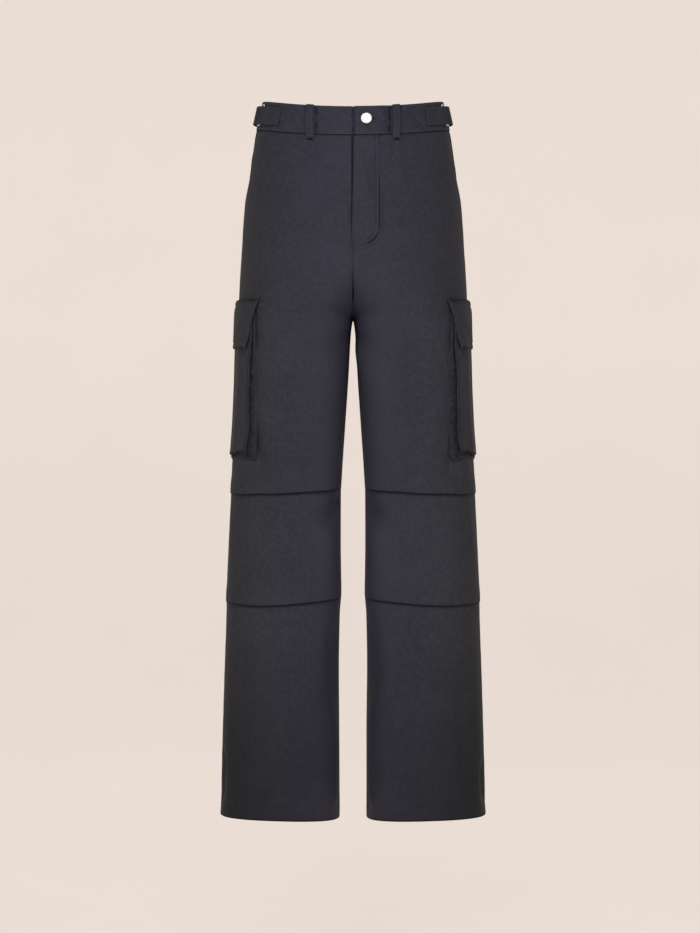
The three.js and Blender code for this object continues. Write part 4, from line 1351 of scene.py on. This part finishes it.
def build_lights(power):
    for name, (place, size, energy, colour) in LIGHTS.items():
        lamp = bpy.data.lights.new(name, "AREA")
        lamp.shape = "RECTANGLE"
        lamp.size, lamp.size_y = size
        lamp.energy = energy * power
        lamp.color = colour
        made = new_object(name, lamp)
        made.location = place
        aim = Vector(LIGHT_TARGET) - Vector(place)
        made.rotation_euler = aim.to_track_quat("-Z", "Y").to_euler()


def build_world(tint, glow):
    """Dim daylight all round; past the sweep's edges the camera sees the sweep's own colour."""
    world = bpy.data.worlds.new("studio")
    world.use_nodes = True
    nodes, links = world.node_tree.nodes, world.node_tree.links
    shade, seen = nodes["Background"], nodes.new("ShaderNodeBackground")
    daylight = (0.86, 0.88, 0.92, 1)
    for made, colour, strength in ((shade, daylight, 0.07), (seen, tint, 1.02 * glow)):
        made.inputs["Color"].default_value = colour
        made.inputs["Strength"].default_value = strength
    rays = nodes.new("ShaderNodeLightPath")
    both = nodes.new("ShaderNodeMixShader")
    for k, source in enumerate((rays.outputs["Is Camera Ray"], shade.outputs[0], seen.outputs[0])):
        links.new(source, both.inputs[k])
    links.new(both.outputs[0], nodes["World Output"].inputs["Surface"])
    bpy.context.scene.world = world
    bpy.context.scene.view_settings.view_transform = "Standard"


def build_camera(sizes):
    camera = bpy.data.cameras.new("camera")
    camera.lens = sizes.camera_lens
    camera.sensor_width = 36
    made = new_object("camera", camera)
    made.location = (sizes.camera_x, -sizes.camera_distance, sizes.camera_height)
    made.rotation_euler = (math.radians(90), 0, 0)
    bpy.context.scene.camera = made


def length_of(name, description, default, unit="LENGTH"):
    return bpy.props.FloatProperty(name=name, description=description, default=default, unit=unit)


def colour_of(name, description, default, subtype="COLOR"):
    return bpy.props.FloatVectorProperty(name=name, description=description, default=default,
                                         subtype=subtype, size=3)


class TrouserSizes(bpy.types.PropertyGroup):
    """Sizes and colours a user would change"""

    cloth_thickness: bpy.props.FloatProperty(
        name="Cloth thickness", description="Thickness of the twill in millimetres",
        default=0.9, min=0.4, max=2)
    weave_pitch: length_of("Weave pitch", "Distance between the twill's diagonal ribs", 0.0011)
    stitch_pitch: length_of("Stitch pitch", "Length of one stitch and its gap", 0.0032)
    thread_radius: length_of("Thread radius", "Half the thickness of the sewing thread", 0.00034)
    # Painted light: the inner colour is a cool shade tint towards the inseams, the outer colour a
    # neutral grey lifted towards the outseams
    inner_shade_tint: colour_of("Inner colour", "Colour of the cloth towards the inseams",
                            (0.0274, 0.0262, 0.0393))
    outer_lit_tint: colour_of("Outer colour", "Colour of the cloth towards the outseams",
                            (0.0298, 0.0298, 0.0330))
    thread_colour: colour_of("Thread colour", "Colour of the sewing thread",
                             (0.020, 0.020, 0.028))
    backdrop_colour: colour_of("Backdrop colour", "Colour of the sweep, as it shows on a screen",
                               (0.91, 0.862, 0.83), "NONE")
    backdrop_glow: bpy.props.FloatProperty(
        name="Backdrop glow", description="How much the sweep lights itself, to stay even",
        default=0.86, min=0)
    light_power: bpy.props.FloatProperty(
        name="Light power", description="Strength of all the lamps", default=0.9, min=0)
    camera_distance: length_of("Camera distance", "From the camera to the garment's middle", 3.0)
    camera_height: length_of("Camera height", "Its height in the garment's frame", -0.5275)
    camera_x: length_of("Camera offset", "How far the camera stands to the side", -0.0044)
    camera_lens: length_of("Lens", "Focal length", 79.8, "CAMERA")


class TROUSERS_OT_stage(bpy.types.Operator):
    """Set the backdrop, the lights and the camera"""

    bl_idname = "trousers.stage"
    bl_label = "Stage"

    def execute(self, context):
        sizes = context.scene.trousers
        tint = linear(sizes.backdrop_colour)
        build_sweep(sizes, tint)
        build_lights(sizes.light_power)
        build_world(tint, sizes.backdrop_glow)
        build_camera(sizes)
        return {"FINISHED"}


class TROUSERS_OT_panels(bpy.types.Operator):
    """Make the two fronts with their knee tucks, and the two backs"""

    bl_idname = "trousers.panels"
    bl_label = "Fronts and backs"

    def execute(self, context):
        for name, side in SIDES.items():
            for face in TURN:
                panel(context.scene.trousers, face, name, side)
        return {"FINISHED"}


class TROUSERS_OT_waist(bpy.types.Operator):
    """Make the waistband, its belt loops, the fly button and the zip"""

    bl_idname = "trousers.waist"
    bl_label = "Waistband and loops"

    def execute(self, context):
        sizes = context.scene.trousers
        waistband(sizes)
        for name, side in SIDES.items():
            belt_loop(sizes, f"belt_loop_front_{name}", side, "front", FRONT_LOOP_X)
            belt_loop(sizes, f"belt_loop_back_{name}", side, "back", BACK_LOOP_X)
        belt_loop(sizes, "belt_loop_back_centre", SIDES["left"], "back", 0)
        fly_button(sizes)
        fly_zip(sizes)
        return {"FINISHED"}


class TROUSERS_OT_adjusters(bpy.types.Operator):
    """Make the side adjusters: tab, ring and strap on each side"""

    bl_idname = "trousers.adjusters"
    bl_label = "Side adjusters"

    def execute(self, context):
        sizes = context.scene.trousers
        for name, side in SIDES.items():
            strap(sizes, f"adjuster_tab_{name}", side, TAB_PATH, -4, "twill")
            # The strap takes the twill's darker copy: painted shade for the loop turned to the side
            strap(sizes, f"adjuster_strap_{name}", side, STRAP_PATH, 0, "twill_painted_shade")
            adjuster_ring(sizes, name, side)
        return {"FINISHED"}


class TROUSERS_OT_pockets(bpy.types.Operator):
    """Make the slash pockets' facings and the cargo pockets: face, bellows and flap"""

    bl_idname = "trousers.pockets"
    bl_label = "Pockets"

    def execute(self, context):
        for name, side in SIDES.items():
            for make in (slash_facing, pocket_face, pocket_gusset, pocket_flap):
                make(context.scene.trousers, name, side)
        return {"FINISHED"}


class TROUSERS_OT_stitching(bpy.types.Operator):
    """Sew every seam that shows its thread"""

    bl_idname = "trousers.stitching"
    bl_label = "Stitching"

    def execute(self, context):
        sizes = context.scene.trousers
        for name, sew in SEWING.items():
            seams = Seams(sizes)
            sew(seams)
            dress(mesh_object(f"{name}_stitching", seams.bm, look_of(sizes, "thread")), "twill")
        return {"FINISHED"}


class TROUSERS_PT_sidebar(bpy.types.Panel):
    """Lists the sizes and the pieces"""

    bl_label = "Cargo trousers"
    bl_space_type = "VIEW_3D"
    bl_region_type = "UI"
    bl_category = "Trousers"

    def draw(self, context):
        for name in TrouserSizes.__annotations__:
            self.layout.prop(context.scene.trousers, name)
        for operator in OPERATORS:
            self.layout.operator(operator.bl_idname)


OPERATORS = (
    TROUSERS_OT_stage,
    TROUSERS_OT_panels,
    TROUSERS_OT_waist,
    TROUSERS_OT_adjusters,
    TROUSERS_OT_pockets,
    TROUSERS_OT_stitching,
)
CLASSES = (TrouserSizes, *OPERATORS, TROUSERS_PT_sidebar)


def register():
    for made in CLASSES:
        bpy.utils.register_class(made)
    bpy.types.Scene.trousers = bpy.props.PointerProperty(type=TrouserSizes)


def unregister():
    del bpy.types.Scene.trousers
    for made in reversed(CLASSES):
        bpy.utils.unregister_class(made)


def main():
    register()
    for operator in OPERATORS:
        group, name = operator.bl_idname.split(".")
        getattr(getattr(bpy.ops, group), name)()


if __name__ == "__main__":
    main()
